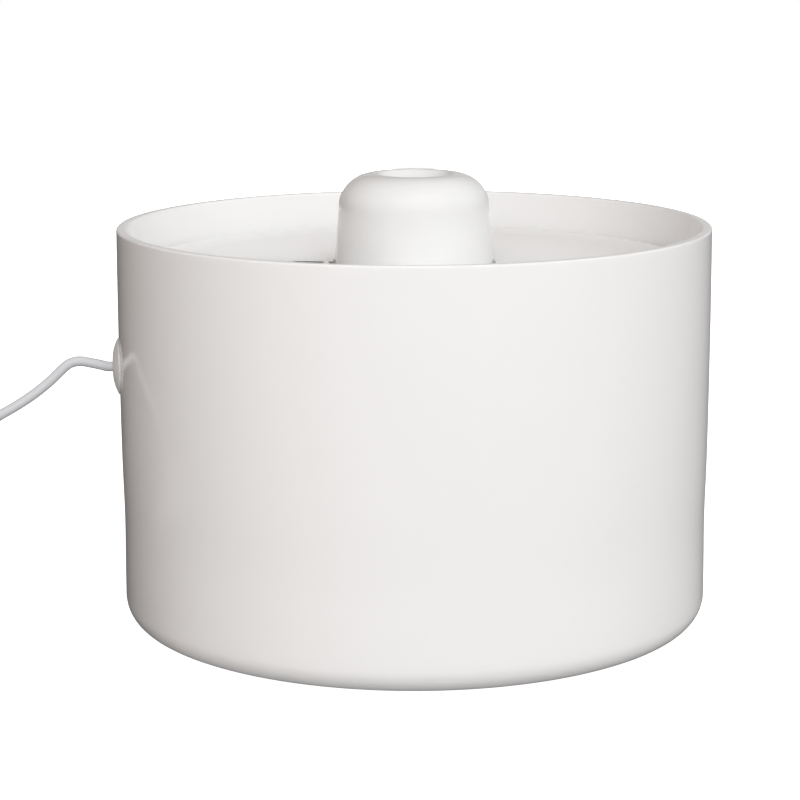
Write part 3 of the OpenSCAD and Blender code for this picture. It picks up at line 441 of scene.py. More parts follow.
class Pattern(Enum):
    """What a finish shows besides its grain; bands hold the directions that they lie across."""

    PLAIN = "plain"
    TRACES = "traces"
    GRANULES = "F1"
    CELLS = "DISTANCE_TO_EDGE"
    BANDED_X = ((1, 0, 0),)
    BANDED_Y = ((0, 1, 0),)
    WEAVE = ((1, 0, 0), (0, 1, 0))


@dataclass(frozen=True)
class Finish:
    """A finish: colours, gloss, grain and pattern."""

    slot: str
    colour: Triple
    second: Triple
    roughness: float = 0.4
    grain_scale: float = 900.0
    grain_depth: float = 0.02
    metallic: float = 0.0
    drift: float = 0.06
    drift_span: Pair = (0.3, 0.7)
    drift_stretch: float = 30.0
    bump: float = 0.6
    ior: float = 1.45
    transmission: float = 0.0
    sheen: float = 0.0
    pattern: Pattern = Pattern.PLAIN
    pitch: float = 0.5
    trace_scale: float = 180.0
    trace_gap: float = 0.03

    def build(self) -> Material:
        """Makes the material.

        Returns:
            A material with grain, a pattern and a drift of gloss and colour.
        """
        material, tree, shader = blank(self.slot)
        place = add_node(tree, "TexCoord").outputs
        scales = {"Grain scale": self.grain_scale, "Drift scale": self.grain_scale / self.drift_stretch}
        grain = add_node(tree, "Group", {"Vector": place["Object"], **scales}, node_tree=GRAIN).outputs
        height, mask = grain["Height"], grain["Drift"]
        if self.pattern is not Pattern.PLAIN:
            height = mask = self.relief(tree, place["UV" if self.pattern is Pattern.WEAVE else "Object"])
        gloss = max(self.roughness - self.drift, 0.02), self.roughness + self.drift
        looks = {
            "Metallic": self.metallic,
            "Transmission Weight": self.transmission,
            "Sheen Weight": self.sheen,
            "IOR": self.ior,
            "Base Color": mixed(tree, mask, (*self.colour, 1), (*self.second, 1)),
            "Roughness": mapped(tree, grain["Drift"], *self.drift_span, *gloss),
            "Normal": bumped(tree, height, self.bump, self.grain_depth),
        }
        join(tree, shader, looks)
        return material

    def relief(self, tree: Tree, spot: Socket) -> Socket:
        """Adds the pattern's nodes; a weave's pitch is a share of the UV map.

        Args:
            tree: the material's nodes.
            spot: the coordinates that the pattern follows.

        Returns:
            The height for the bump, which is also the share of the second colour.
        """
        if self.pattern is Pattern.TRACES:
            sizes = {"Scale": self.trace_scale, "Mortar Size": self.trace_gap}
            return add_node(tree, "TexBrick", {"Vector": spot, **sizes}).outputs["Fac"]
        if self.pattern in (Pattern.GRANULES, Pattern.CELLS):
            links = {"Vector": spot, "Scale": 1 / (self.pitch * MM)}
            return add_node(tree, "TexVoronoi", links, feature=self.pattern.value).outputs["Distance"]
        pitch = self.pitch * (1 if self.pattern is Pattern.WEAVE else MM)
        rows = [{"Vector": spot, "Direction": across, "Pitch": pitch} for across in self.pattern.value]
        heights = [add_node(tree, "Group", links, node_tree=BANDS).outputs["Height"] for links in rows]
        return maths(tree, "MULTIPLY", *heights) if self.pattern is Pattern.WEAVE else heights[0]


@dataclass(frozen=True)
class Glaze:
    """Glossy white glaze, a little warmer where it runs thin, over a bare fired foot."""

    slot: str = "glaze"
    colour: Triple = (0.848, 0.846, 0.843)
    thin: Triple = (0.83, 0.822, 0.812)
    bare: Triple = (0.70, 0.665, 0.615)
    roughness: float = 0.16
    bare_roughness: float = 0.75
    bare_top: float = 0.35
    bare_fade: float = 2.2
    thin_scale: float = 9.0
    thin_span: Pair = (0.35, 0.75)
    thin_share: float = 0.35
    wave_scale: float = 55.0
    wave_depth: float = 0.12
    bump: float = 0.35
    pit_scale: float = 140.0
    pit_r: float = 0.06
    pit_depth: float = 0.1
    ior: float = 1.5

    def build(self) -> Material:
        """Makes the material.

        Returns:
            A glaze whose colour drifts slowly, with faint waves, rare pinholes and a bare foot.
        """
        material, tree, shader = blank(self.slot)
        place = add_node(tree, "TexCoord").outputs["Object"]
        scales = {"Grain scale": self.wave_scale, "Drift scale": self.thin_scale}
        waves = add_node(tree, "Group", {"Vector": place, **scales}, node_tree=GRAIN).outputs
        pits = add_node(tree, "TexVoronoi", {"Vector": place, "Scale": self.pit_scale})
        pit = maths(tree, "MULTIPLY", mapped(tree, pits.outputs["Distance"], 0.0, self.pit_r), self.pit_depth)
        thinned = mapped(tree, waves["Drift"], *self.thin_span, 0.0, self.thin_share)
        glazed = mixed(tree, thinned, (*self.colour, 1), (*self.thin, 1))
        z = add_node(tree, "SeparateXYZ", {0: place}).outputs["Z"]
        cover = mapped(tree, z, self.bare_top * MM, self.bare_fade * self.bare_top * MM)
        looks = {
            "IOR": self.ior,
            "Base Color": mixed(tree, cover, (*self.bare, 1), glazed),
            "Roughness": mapped(tree, cover, 0.0, 1.0, self.bare_roughness, self.roughness),
            "Normal": bumped(tree, maths(tree, "ADD", waves["Height"], pit), self.bump, self.wave_depth),
        }
        join(tree, shader, looks)
        return material


FINISHES = (
    Glaze(),
    # The dome's glaze: its cooler tone is the dome's own colour, and its lower brightness is painted shade, a
    # darker copy of the glaze that holds down how bright the dome's top comes out
    Glaze("cool_dome_glaze_with_painted_shade", (0.806, 0.811, 0.806), (0.792, 0.792, 0.782)),
    Finish("silicone", (0.74, 0.74, 0.73), (0.68, 0.68, 0.67), 0.5, 700, sheen=0.1),
    Finish("lead_jacket", (0.66, 0.67, 0.69), (0.61, 0.62, 0.65), 0.42, 1500, 0.01),
    Finish("tie_strap", (0.8, 0.8, 0.79), (0.6, 0.6, 0.59), 0.85, sheen=0.4,
           pattern=Pattern.WEAVE, pitch=0.02),
    Finish("plug_grip", (0.68, 0.69, 0.71), (0.64, 0.65, 0.67), 0.48, 2200, 0.04),
    Finish("plug_metal", (0.78, 0.77, 0.75), (0.7, 0.69, 0.67), 0.24, 1800, 0.01, 1.0),
    Finish("contact_gold", (0.83, 0.6, 0.24), (0.74, 0.52, 0.2), 0.22, 2000, 0.004, 1.0),
    Finish("plug_insulator", (0.84, 0.84, 0.83), (0.8, 0.8, 0.79)),
    Finish("case_plastic", (0.8, 0.81, 0.82), (0.76, 0.77, 0.78), 0.34, 1600),
    Finish("pump_plastic", (0.74, 0.75, 0.76), (0.7, 0.71, 0.72), 0.36, 1600),
    Finish("cartridge_plastic", (0.42, 0.55, 0.68), (0.38, 0.51, 0.65), 0.42, 1500),
    Finish("carbon", (0.012, 0.012, 0.014), (0.07, 0.07, 0.075), 0.8, 900, 0.5,
           pattern=Pattern.GRANULES, pitch=1.3),
    Finish("foam", (0.05, 0.11, 0.2), (0.22, 0.36, 0.52), 0.9, 900, 0.5, pattern=Pattern.CELLS, pitch=0.9),
    Finish("core_steel", (0.07, 0.075, 0.085), (0.16, 0.165, 0.175), 0.45, 900, 0.1, 0.8,
           pattern=Pattern.BANDED_X),
    Finish("copper", (0.26, 0.09, 0.035), (0.62, 0.27, 0.11), 0.3, 900, 0.15, 1.0,
           pattern=Pattern.BANDED_Y, pitch=0.32),
    Finish("board", (0.01, 0.09, 0.035), (0.03, 0.2, 0.08), 0.35, 900, 0.03, pattern=Pattern.TRACES),
    Finish("resin", (0.016, 0.016, 0.018), (0.024, 0.024, 0.026), 0.3, 300),
    Finish("seal_rubber", (0.02, 0.02, 0.02), (0.035, 0.035, 0.035), 0.55),
    Finish("shaft_steel", (0.62, 0.63, 0.65), (0.52, 0.53, 0.55), 0.2, 900, 0.005, 1.0,
           pattern=Pattern.BANDED_X, pitch=0.06),
    Finish("bush", (0.03, 0.03, 0.033), (0.05, 0.05, 0.055), 0.5),
    Finish("magnet", (0.055, 0.057, 0.06), (0.1, 0.102, 0.106), 0.5, 1200, 0.05, 0.5),
    Finish("impeller_plastic", (0.28, 0.43, 0.62), (0.25, 0.4, 0.58), 0.38),
    Finish("dial_plastic", (0.34, 0.47, 0.62), (0.31, 0.44, 0.59), 0.4, 1500),
    Finish("tube_silicone", (0.86, 0.89, 0.91), (0.82, 0.86, 0.89), 0.32, 800, transmission=0.55),
)
MATERIALS = {finish.slot: finish.build() for finish in FINISHES}


def dress(piece: Object, finish: str) -> None:
    """Gives a piece a finish and no other."""
    piece.data.materials.clear()
    piece.data.materials.append(MATERIALS[finish])


def settle(piece: Object, body: str, slot: str, nodes: Sequence[str], finish: str = "") -> Object:
    """Gives a piece its finish and its body, and hides the solids that it stands for.

    Args:
        piece: the new piece.
        body: the body that it moves with.
        slot: the record's material slot.
        nodes: solids that the piece replaces.
        finish: the finish, where it isn't the slot's own.

    Returns:
        The piece.
    """
    dress(piece, finish or slot)
    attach(piece, body)
    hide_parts(*nodes)
    faces = len(piece.data.polygons)
    LOG.info("%s rides on %s: %d faces, stands for %s", piece.name, body, faces, list(nodes))
    return piece


# -- the ceramic


@dataclass
class Drum:
    """The glazed drum: bare foot ring, rounded base, upright wall, flat-topped lip and inner ledge."""

    radius: float = 110.0
    height: float = 147.4
    wall: float = 4.6
    floor_z: float = 7.5
    recess: float = 1.5
    base_r: float = 9.0
    ring_w: float = 6.0
    ledge_z: float = 127.6
    ledge_r: float = 100.4
    ledge_h: float = 3.0
    lip_w: float = 4.0
    lip_out_r: float = 0.9
    lip_in_r: float = 1.1
    hole_z: float = 96.6
    hole_r: float = 5.2
    belly: float = 0.45
    belly_z: float = 105.0
    belly_w: float = 60.0
    waist: float = 0.35
    waist_z: float = 38.0
    waist_w: float = 16.0

    def outline(self) -> Array:
        """Section of the drum, from its axis under the base round to its axis on the floor.

        As on a thrown or cast pot, the outer wall isn't quite straight: it swells by a bell
        curve round one height and draws in by another round a lower one.

        Returns:
            (radius, height) rows in millimetres.
        """
        outer, top, ledge, ledge_z = self.radius, self.height, self.ledge_r, self.ledge_z
        inner, ring = outer - self.wall, outer - self.base_r - self.ring_w
        under = ledge_z - self.ledge_h
        corners = [
            (0, self.recess, 0), (ring, self.recess, 0.7), (ring, 0, 0.5), (outer, 0, self.base_r),
            (outer, top, self.lip_out_r), (outer - self.lip_w, top, self.lip_in_r), (inner, ledge_z, 0.5),
            (ledge, ledge_z, 1.0), (ledge, under, 0.8), (inner, under - (inner - ledge), 3.0),
            (inner, self.floor_z, 8.0), (0, self.floor_z, 0),
        ]
        outline = rounded(corners, False, 14, 3.0)
        r, z = outline.T
        outside = np.clip((r - inner) / self.wall, 0, 1)
        belly = np.exp(-(((z - self.belly_z) / self.belly_w) ** 2)) - 1
        waist = np.exp(-(((z - self.waist_z) / self.waist_w) ** 2))
        return np.stack([r + outside * (self.belly * belly - self.waist * waist), z], 1)

    def build(self) -> None:
        """Makes the drum and the hole for the grommet, a round bar along X taken out of its left wall."""
        drum = lathe("drum_ceramic", self.outline(), False, 288)
        x = np.array([-3, 9])[:, None] - self.radius
        bar = np.roll(turned(self.hole_r, angles(64)[None, :], x), 1, axis=2) + (0, 0, self.hole_z)
        cut(drum, surface("hole_cutter", capped(bar), False, True))
        settle(drum, "drum", "glaze", ("vessel",))


@dataclass
class Plate:
    """The loose drinking plate with its return slot, its dome seat, its collar and its foot."""

    radius: float = 104.6
    top_z: float = 133.3
    middle_z: float = 133.1
    under_z: float = 127.6
    seat_z: float = 131.5
    seat_r: float = 30.3
    way_r: float = 6.85
    collar_r: float = 25.0
    collar_t: float = 4.0
    collar_h: float = 5.0
    foot_r: float = 99.6
    foot_w: float = 4.0
    foot_h: float = 3.5
    web: float = 1.7
    slot_w: float = 12.4
    slot_from: float = 166.0
    slot_to: float = 247.0
    slot_power: float = 9
    slit_in_r: float = 29.8
    slit_w: float = 1.9
    slit_power: float = 12
    edge_r: float = 0.14
    edge_turn: float = 82.0
    undercut: float = 2.2

    def outline(self) -> Array:
        """Section of the plate.

        Returns:
            (radius, height) rows in millimetres, a loop from the water way's lower edge.
        """
        way, rim, seat, foot, collar = self.way_r, self.radius, self.seat_r, self.foot_r, self.collar_r
        under, top, middle, low = self.under_z, self.top_z, self.middle_z, self.seat_z
        foot_in, foot_z = foot - self.foot_w, under - self.foot_h
        collar_in, collar_z = collar - self.collar_t, low + self.collar_h
        corners = [
            (way, under, 0.4), (foot_in, under, 0.8), (foot_in, foot_z, 0.8), (foot, foot_z, 0.8),
            (foot, under, 0.8), (rim, under, 0.8), (rim, top, 1.9), (rim - 3.4, top, 2.0),
            (rim - 15, middle, 30.0), (seat, middle, 0.6), (seat, low, 0.5), (collar, low, 0.5),
            (collar, collar_z, 0.8), (collar_in, collar_z, 0.8), (collar_in, middle, 0.8), (way, middle, 0.8),
        ]
        return rounded(corners, True, 10, 3.0)

    def slot_cutter(self, name: str, r0: float, r1: float, power: float) -> Object:
        """Cutter whose rim flares, so that the slot's edges come out round.

        Its outline is a superellipse in radius and angle, (cos t, sin t) to the power 2 / p: one
        quarter of it, sampled evenly along its length, and its mirror images. It grows by a
        quarter circle towards the plate's upper face, and along its length under that face, so
        that its ends are undercut. A row on its middle arc closes each end.

        Args:
            name: the cutter's name.
            r0: the slot's inner radius.
            r1: its outer radius.
            power: p, how square the ends are.

        Returns:
            The cutter.
        """
        middle_r, half_w = (r0 + r1) / 2, (r1 - r0) / 2
        middle_a = math.radians((self.slot_from + self.slot_to) / 2)
        half_a = math.radians((self.slot_to - self.slot_from) / 2)
        t = np.linspace(0, np.pi / 2, 4001)
        quarter = np.stack([np.cos(t), np.sin(t)], 1) ** (2 / power)
        along = travelled(quarter * (half_w, middle_r * half_a))
        quarter = at_stops(quarter, along, np.linspace(0, along[-1], 60))
        right, left = quarter[:-1], quarter[:0:-1] * (-1, 1)
        loop = np.vstack([right, left, -right, -left])
        q = np.linspace(0, 1, 7) * math.radians(self.edge_turn)
        flare, rise = self.edge_r * (1 - np.cos(q)), self.edge_r * np.sin(q)
        top = self.middle_z - rise[-1]
        low, high = self.under_z - 2, self.top_z + 2
        below = [low, low, top - 1.9, top - 0.2, top]
        heights = np.concatenate([below, top + rise[1:], [high, high]])[:, None]
        grow = np.concatenate([np.zeros(5), flare[1:], [flare[-1] + 2.2] * 2])[:, None]
        under = np.where(np.arange(len(heights)) < 3, self.undercut, 0.0)[:, None]
        width = half_w + grow
        width[[0, -1]] = 0
        a = middle_a + (half_a + (grow + under) / middle_r) * loop[:, 1]
        return surface(name, turned(middle_r + width * loop[:, 0], a, heights), False, True)

    def build(self) -> None:
        """Makes the plate and cuts its slots."""
        plate = lathe("plate_ceramic", self.outline(), True, 256)
        slit_out = self.slit_in_r + self.slit_w
        slot_in = slit_out + self.web
        cut(plate, self.slot_cutter("slit_cutter", self.slit_in_r, slit_out, self.slit_power))
        cut(plate, self.slot_cutter("slot_cutter", slot_in, slot_in + self.slot_w, self.slot_power))
        settle(plate, "plate", "glaze", ("drinking_plate",))


@dataclass
class Dome:
    """The loose dome: flared skirt, round shoulder, dished top with its hole, and its socket."""

    foot_r: float = 29.4
    neck_r: float = 27.95
    seat_z: float = 131.5
    crest_z: float = 166.1
    shoulder_r: float = 12.6
    wall: float = 3.8
    dish_r: float = 14.0
    dish_depth: float = 6.0
    dish_lip: float = 2.6
    hole_r: float = 4.5
    hole_flat: float = 1.2
    socket_r: float = 6.85
    socket_t: float = 3.0
    socket_z: float = 145.1
    socket_top_z: float = 157.1

    def outline(self) -> Array:
        """Section of the dome, a loop from its foot over the dish and back inside.

        The dish is a piece of a sphere through its rim and its deepest point. Its round lip
        touches the crest's level from below and the sphere from outside.

        Returns:
            (radius, height) rows in millimetres.
        """
        crest, neck, hole, lip = self.crest_z, self.neck_r, self.hole_r, self.dish_lip
        neck_z, bowl_z, lip_z = crest - self.shoulder_r, crest - self.dish_depth, crest - lip
        sphere = (self.dish_r**2 + self.dish_depth**2) / (2 * self.dish_depth)
        sphere_z = bowl_z + sphere
        lip_x = math.sqrt((sphere + lip) ** 2 - (sphere_z - lip_z) ** 2)
        lean = math.atan2(lip_x, sphere_z - lip_z)
        edge = math.asin((hole + self.hole_flat) / sphere)
        a, b = np.linspace(0, lean, 12), np.linspace(lean, edge, 14)[1:]
        over = zip(lip_x - lip * np.sin(a), lip_z + lip * np.cos(a), 0 * a)
        bowl = zip(sphere * np.sin(b), sphere_z - sphere * np.cos(b), 0 * b)
        socket, socket_out = self.socket_r, self.socket_r + self.socket_t
        inner, inner_z = neck - self.wall, crest - self.wall - 0.9
        corners = [
            (self.foot_r - self.wall, self.seat_z, 0.5), (self.foot_r, self.seat_z, 0.6),
            (neck, neck_z, 0), (neck, crest, self.shoulder_r), *over, *bowl,
            (hole, sphere_z - math.sqrt(sphere**2 - hole**2), 0.5), (hole, self.socket_top_z, 0.3),
            (socket, self.socket_top_z, 0.3), (socket, self.socket_z, 0.5), (socket_out, self.socket_z, 0.8),
            (socket_out, bowl_z - 3.4, 1.2), (self.dish_r, inner_z, 2.0),
            (inner, inner_z, self.shoulder_r - self.wall - 1), (inner, neck_z, 0),
        ]
        return rounded(corners, True, 16, 2.0)

    def build(self) -> None:
        """Makes the dome."""
        # The dome wears the darker copy of the glaze, which has painted shade in its colour
        settle(lathe("dome_ceramic", self.outline(), True, 192), "dome", "glaze", ("dome",), "cool_dome_glaze_with_painted_shade")


# -- the lead


@dataclass
class Lead:
    """The lead from the pump to its plug, with its grommet, its coil and its tie."""

    drum: Drum
    diameter: float = 3.7
    play: float = 0.05
    spacing: float = 0.75
    exit_x: float = -112.4
    flange_r: float = 10.4
    flange_edge: float = 0.5
    crown: float = 1.9
    inner_flange_r: float = 7.5
    inner_flange_t: float = 2.5
    inner_chamfer: float = 0.5
    coil_x: float = -290.0
    coil_mid_r: float = 20.35
    turns: float = 8.5
    turn_points: int = 30
    step_first: float = 0.8
    step_every: float = 0.95
    step_length: float = 0.12
    tie_t: float = 0.8
    tie_w: float = 9.0
    tie_corner: float = 1.9
    tie_lap: float = 0.3
    tie_gap: float = 0.2
    lap_from: float = 0.72
    lap_rise: float = 0.34
    strip_t: float = 0.3
    strip_r: float = 0.14
    grip_l: float = 22.0
    grip_w: float = 15.6
    grip_h: float = 8.0
    grip_r: float = 2.6
    grip_edge: float = 0.8
    grip_start: Triple = (3.4, 3.0, 2.9)
    grip_neck: float = 7.0
    neck_ribs: float = 4.5
    rib_pitch: float = 1.5
    rib_field: float = 7.0
    run: Route = (
        (0, 96.6), (1.5, 96.6), (4, 97.2), (8, 98.2), (11, 98.8), (13.5, 98.8), (15.5, 98.2), (17.5, 96.9),
        (20, 94.6), (23, 91.8), (26, 89.3), (30, 86.4), (35, 83.2), (40, 80.4), (45, 77.6), (51, 74.0),
        (58, 69.2), (66, 62.8), (75, 54.6), (84, 45.4), (93, 35.8), (102, 26.4), (111, 18.0), (120, 11.2),
        (129, 6.4), (138, 3.5), (147, 2.2), (156, 1.9), (165, 2.2), (171, 2.6),
    )
    inside: Route = (
        (-37, 43.8), (-47, 43.8), (-53, 43.8), (-58, 44.4), (-64, 47.0), (-69, 52.0), (-73, 58.8),
        (-76, 66.6), (-79, 74.4), (-82.6, 82.0), (-87, 88.6), (-92, 93.8), (-97, 96.3), (-102, 96.6),
        (-107.7, 96.6), (-112.4, 96.6),
    )
    tail: Route = (
        (6, 10.0), (11, 9.3), (16, 7.8), (21, 6.0), (26, 4.7), (30, 4.1), (34, 4.0), (38, 4.0), (42, 4.0),
    )

    @property
    def coil_y(self) -> float:
        """Sideways place of the coil's middle: its lowest outer turn touches the lead's own line."""
        return self.coil_mid_r + self.diameter

    def coil_route(self) -> Array:
        """Line of the wound turns.

        The angle falls evenly, once round for each turn, from -90 degrees. The place in the
        section moves to the next of nine seats once a turn, on a smooth step, and each step
        comes a little earlier in its turn than the one before, so that the next seat is free.

        Returns:
            Its points in millimetres.
        """
        outward = np.array([1, 0, -1, -1, -1, 0, 0, 1, 1]) * self.diameter
        layer = np.array([0, 0, 0, 1, 2, 2, 1, 1, 2]) + 0.5
        seats = np.arange(len(layer))
        u = np.linspace(0, self.turns, int(self.turns * self.turn_points) + 1)
        middles = self.step_first + self.step_every * seats[:-1]
        t = np.clip((u[:, None] - middles) / self.step_length + 0.5, 0, 1)
        seat = (t * t * (3 - 2 * t)).sum(axis=1)
        radius = self.coil_mid_r + np.interp(seat, seats, outward)
        height = self.tie_t + self.diameter * np.interp(seat, seats, layer)
        return turned(radius, -np.pi / 2 - 2 * np.pi * u, height) + (self.coil_x, self.coil_y, 0)

    def outer_path(self) -> Array:
        """Smooth line of the whole outer lead.

        Returns:
            Its points in millimetres, from the grommet to the plug.
        """
        run = in_plane(self.run) * (-1, 1, 1) + (self.exit_x, 0, 0)
        tail = in_plane(self.tail) + (self.coil_x, 2 * self.coil_y, 0)
        return smooth(np.vstack([run, self.coil_route(), tail]), self.spacing)

    def grommet(self) -> Object:
        """Silicone grommet: crowned outer flange, neck through the wall and inner flange.

        The outer part of its section is counted from the plane x = -R that touches the drum,
        the rest from the curved wall, which lies sqrt(R^2 - y^2) from the drum's axis.

        Returns:
            The grommet.
        """
        bore, neck = self.diameter / 2 + self.play, self.drum.hole_r - self.play
        crest, rim = self.flange_edge + self.crown, self.flange_r
        t = np.linspace(0, 1, 16)
        crown_r = bore + 0.7 + (rim - 0.35 - bore - 0.7) * t
        outer = np.vstack([
            [(bore, crest - 0.45), (bore + 0.25, crest - 0.1)],
            np.stack([crown_r, self.flange_edge + self.crown * (1 - t**2)], 1),
            [(rim - 0.08, 0.42), (rim, 0.22), (rim - 0.06, 0.05)],
        ])
        wall_r, wall = self.drum.radius, self.drum.wall
        chamfer, inner_r = self.inner_chamfer, self.inner_flange_r
        near, far = -wall - self.play, -wall - self.inner_flange_t
        inner = np.array([
            (rim - 0.3, 0.03), (neck + 0.5, 0.03), (neck + 0.02, 0.0), (neck, -wall + 0.2),
            (neck + 0.3, near), (inner_r - 0.4, near), (inner_r, -wall - chamfer),
            (inner_r, far + chamfer), (inner_r - chamfer, far), (bore + chamfer, far), (bore, far + chamfer),
        ])
        r, height = np.vstack([outer, inner]).T
        follow = np.repeat([0.0, 1.0], [len(outer), len(inner)])
        a = angles(96)[:, None]
        y, z = r * np.cos(a), r * np.sin(a)
        face = np.sqrt(wall_r**2 - y**2) * follow + wall_r * (1 - follow)
        grid = np.stack([-(face + height), y, self.drum.hole_z + z], axis=2)
        return surface("grommet_moulding", grid, True, True, MOULDED)

    def tie(self) -> Object:
        """Hook-and-loop strap round the coil's section, with its end laid over itself.

        The strap's line goes once round a rounded square and a lap further, where it rises by
        its own thickness. The width of its section, a thin strip, follows an arc of the coil.

        Returns:
            The strap.
        """
        half = 1.5 * self.diameter + self.play
        loop = rounded(box(half, half, self.tie_corner), True, 7, 0.5)
        loop = np.roll(loop, len(loop) // 3, axis=0)
        line = np.vstack([loop, loop[: int(len(loop) * self.tie_lap)]])
        t = np.linspace(0, 1, len(line))[:, None]
        outward = unit(line)
        line = line + outward * (self.tie_gap + self.lap_rise * np.clip((t - self.lap_from) * 12, 0, 1))
        strip = rounded(box(self.tie_w / 2, self.strip_t / 2, self.strip_r), True, 4, 0.8)
        spot = line[:, None] + outward[:, None] * strip[None, :, 1:]
        a = np.pi + strip[None, :, 0] / self.coil_mid_r
        z = self.tie_t + 1.5 * self.diameter + spot[..., 1]
        grid = turned(self.coil_mid_r + spot[..., 0], a, z) + (self.coil_x, self.coil_y, 0)
        return surface("coil_strap", capped(grid), False, True, MOULDED)

    def grip_stations(self) -> list[tuple[float, float, float, float]]:
        """Sections of the plug's grip.

        The first are round: down the lead's bore and back along the strain relief, whose radius
        is a row of cosines. A quarter wave widens them into the body, which ends rounded.

        Returns:
            (place, half width, half height, corner radius) of each rounded rectangle.
        """
        bore = self.diameter / 2 + self.play
        x = np.linspace(-self.grip_neck, -0.3, 60)
        t = (x + self.grip_neck) / self.grip_neck
        ribs = 0.5 - 0.5 * np.cos(2 * np.pi * t * self.neck_ribs)
        neck = self.diameter / 2 + 0.35 + (0.55 + 0.8 * t) * (0.35 + 0.65 * ribs)
        w, h, r, edge = self.grip_w / 2, self.grip_h / 2, self.grip_r, self.grip_edge
        stations = [(at, k, k, k) for at, k in [(0.0, bore), (-self.grip_neck + 0.2, bore), *zip(x, neck)]]
        q = np.linspace(0.02, 1, 8) * np.pi / 2
        lead_in = [(1.6 * (1 - math.cos(k)) - 0.25, math.sin(k) ** 0.8) for k in q]
        start, body = np.array(self.grip_start), np.array([w, h, r])
        stations += [(at, *(start + (body - start) * k)) for at, k in lead_in]
        stations += [(at, w, h, r) for at in np.linspace(1.5, self.grip_l - edge, 90)]
        lead_out = [(self.grip_l - edge * (1 - math.sin(k)), edge * (1 - math.cos(k))) for k in q]
        return stations + [(at, w - less, h - less, r) for at, less in lead_out]

    def grip(self) -> Object:
        """Moulded grip of the plug, with finger ribs on both faces.

        The finger ribs are rows of cosines that fade towards the sides of their oval field.

        Returns:
            The grip.
        """
        arc, side = 9, 12
        starts = range(0, 4 * arc, arc)
        rings = []
        for at, half_w, half_h, radius in self.grip_stations():
            ring = rounded(box(half_w, half_h, 0.999 * radius), True, arc)
            sides = [np.linspace(ring[k + arc - 1], ring[(k + arc) % len(ring)], side)[1:-1] for k in starts]
            ring = np.vstack([part for k, line in zip(starts, sides) for part in (ring[k : k + arc], line)])
            rings.append(np.insert(ring, 0, at, axis=1))
        grid = np.stack(rings)
        x, y, z = np.moveaxis(grid, 2, 0)
        field_x = np.clip(1 - ((x - self.grip_l / 2) / self.rib_field) ** 2, 0, 1)
        field_y = np.clip(1 - (y / (self.grip_w / 2 - 2)) ** 2, 0, 1)
        face = np.clip(np.abs(z) - self.grip_h / 2 + 0.4, 0, 0.4) / 0.4
        ribs = 0.12 + 0.16 * (1 + np.cos(2 * np.pi * x / self.rib_pitch))
        depth = np.sqrt(field_x * field_y) * face * ribs
        z -= np.sign(z) * np.where(x > 1.5, depth, 0)
        plug = (self.coil_x + self.tail[-1][0], 2 * self.coil_y, self.tail[-1][1])
        return surface("plug_moulding", capped(grid) + plug, False, True, MOULDED)

    def build(self) -> None:
        """Makes the lead, its grommet, its tie and the grip of its plug."""
        path = self.outer_path()
        lead = tube("lead", path, self.diameter / 2)
        settle(lead, "drum", "lead_jacket", ("lead_run", "lead_coil", "lead_tail"))
        grommet = settle(self.grommet(), "drum", "silicone", ("cord_grommet",))
        tie = settle(self.tie(), "drum", "tie_strap", ("coil_tie",))
        grip = settle(self.grip(), "drum", "plug_grip", ("plug_grip",))
        inner = smooth(in_plane(self.inside), self.spacing)
        settle(tube("lead_inside", inner, self.diameter / 2), "drum", "lead_jacket", ("pump_lead",))


# -- solids kept


def dress_solids() -> None:
    """Gives each solid that still shows the finish of its slot in the record."""
    slots = {part["node"]: part["material_slot"] for part in frame["record"]["subparts"]}
    for name, solid in frame["nodes"].items():
        if not solid.hide_render:
            dress(solid, slots[name])
            LOG.info("%s keeps its solid, in %s", name, slots[name])


# -- the studio


def seen_rays(tree: Tree) -> Socket:
    """Tells sight from light.

    Args:
        tree: the node tree.

    Returns:
        1 for what the camera, a reflection or a view through glass sees, and 0 for the light.
    """
    rays = add_node(tree, "LightPath").outputs
    mirror = maths(tree, "MAXIMUM", rays["Is Camera Ray"], rays["Is Glossy Ray"])
    return maths(tree, "MAXIMUM", mirror, rays["Is Transmission Ray"])


def facing(place: Vector, aim: Vector) -> Matrix:
    """Pose of a camera or a lamp at a place, turned towards an aim, both in metres."""
    return Matrix.Translation(place) @ (aim - place).to_track_quat("-Z", "Y").to_matrix().to_4x4()


@dataclass(frozen=True)
class Lamp:
    """A soft square lamp; its angles are degrees, its side and its distance metres."""

    name: str
    azimuth: float
    elevation: float
    size: float
    watts: float
    tint: Triple = (0.96, 0.985, 1.0)
    distance: float = 2.1
    aim: Triple = (0, 0, 0.08)

    def build(self) -> None:
        """Adds the lamp, facing the drum."""
        data = bpy.data.lights.new(self.name, "AREA")
        data.size, data.energy, data.color = self.size, self.watts, self.tint
        turn, rise = math.radians(self.azimuth), math.radians(self.elevation)
        level = math.cos(rise)
        place = self.distance * Vector((level * math.cos(turn), level * math.sin(turn), math.sin(rise)))
        body = bpy.data.objects.new(self.name, data)
        body.matrix_world = facing(place, Vector(self.aim))
        body.visible_camera = body.visible_glossy = False
        bpy.context.scene.collection.objects.link(body)


@dataclass(frozen=True)
class Card:
    """A grey card round the drum, as a patch of a cone with the drum's axis.

    Its edges are (radius, height) in millimetres, its sweep is in degrees. Mirrors see it, or
    the light that surfaces send each other, and never the camera.
    """

    name: str
    tone: float
    low: Pair
    high: Pair
    sweep: Pair = (0, 360)
    for_mirrors: bool = True

    def build(self) -> None:
        """Hangs the card."""
        r, z = np.array([self.low, self.high]).T[:, None]
        a = np.radians(np.linspace(*self.sweep, 97))[:, None]
        body = surface(self.name, turned(r, a, z), False, False)
        tree = emptied(body.data, self.name)
        glow = add_node(tree, "Emission", {"Color": (1, 1, 1, 1), "Strength": self.tone})
        add_node(tree, "OutputMaterial", {0: glow.outputs[0]})
        body.visible_camera = body.visible_transmission = body.visible_shadow = False
        body.visible_glossy, body.visible_diffuse = self.for_mirrors, not self.for_mirrors


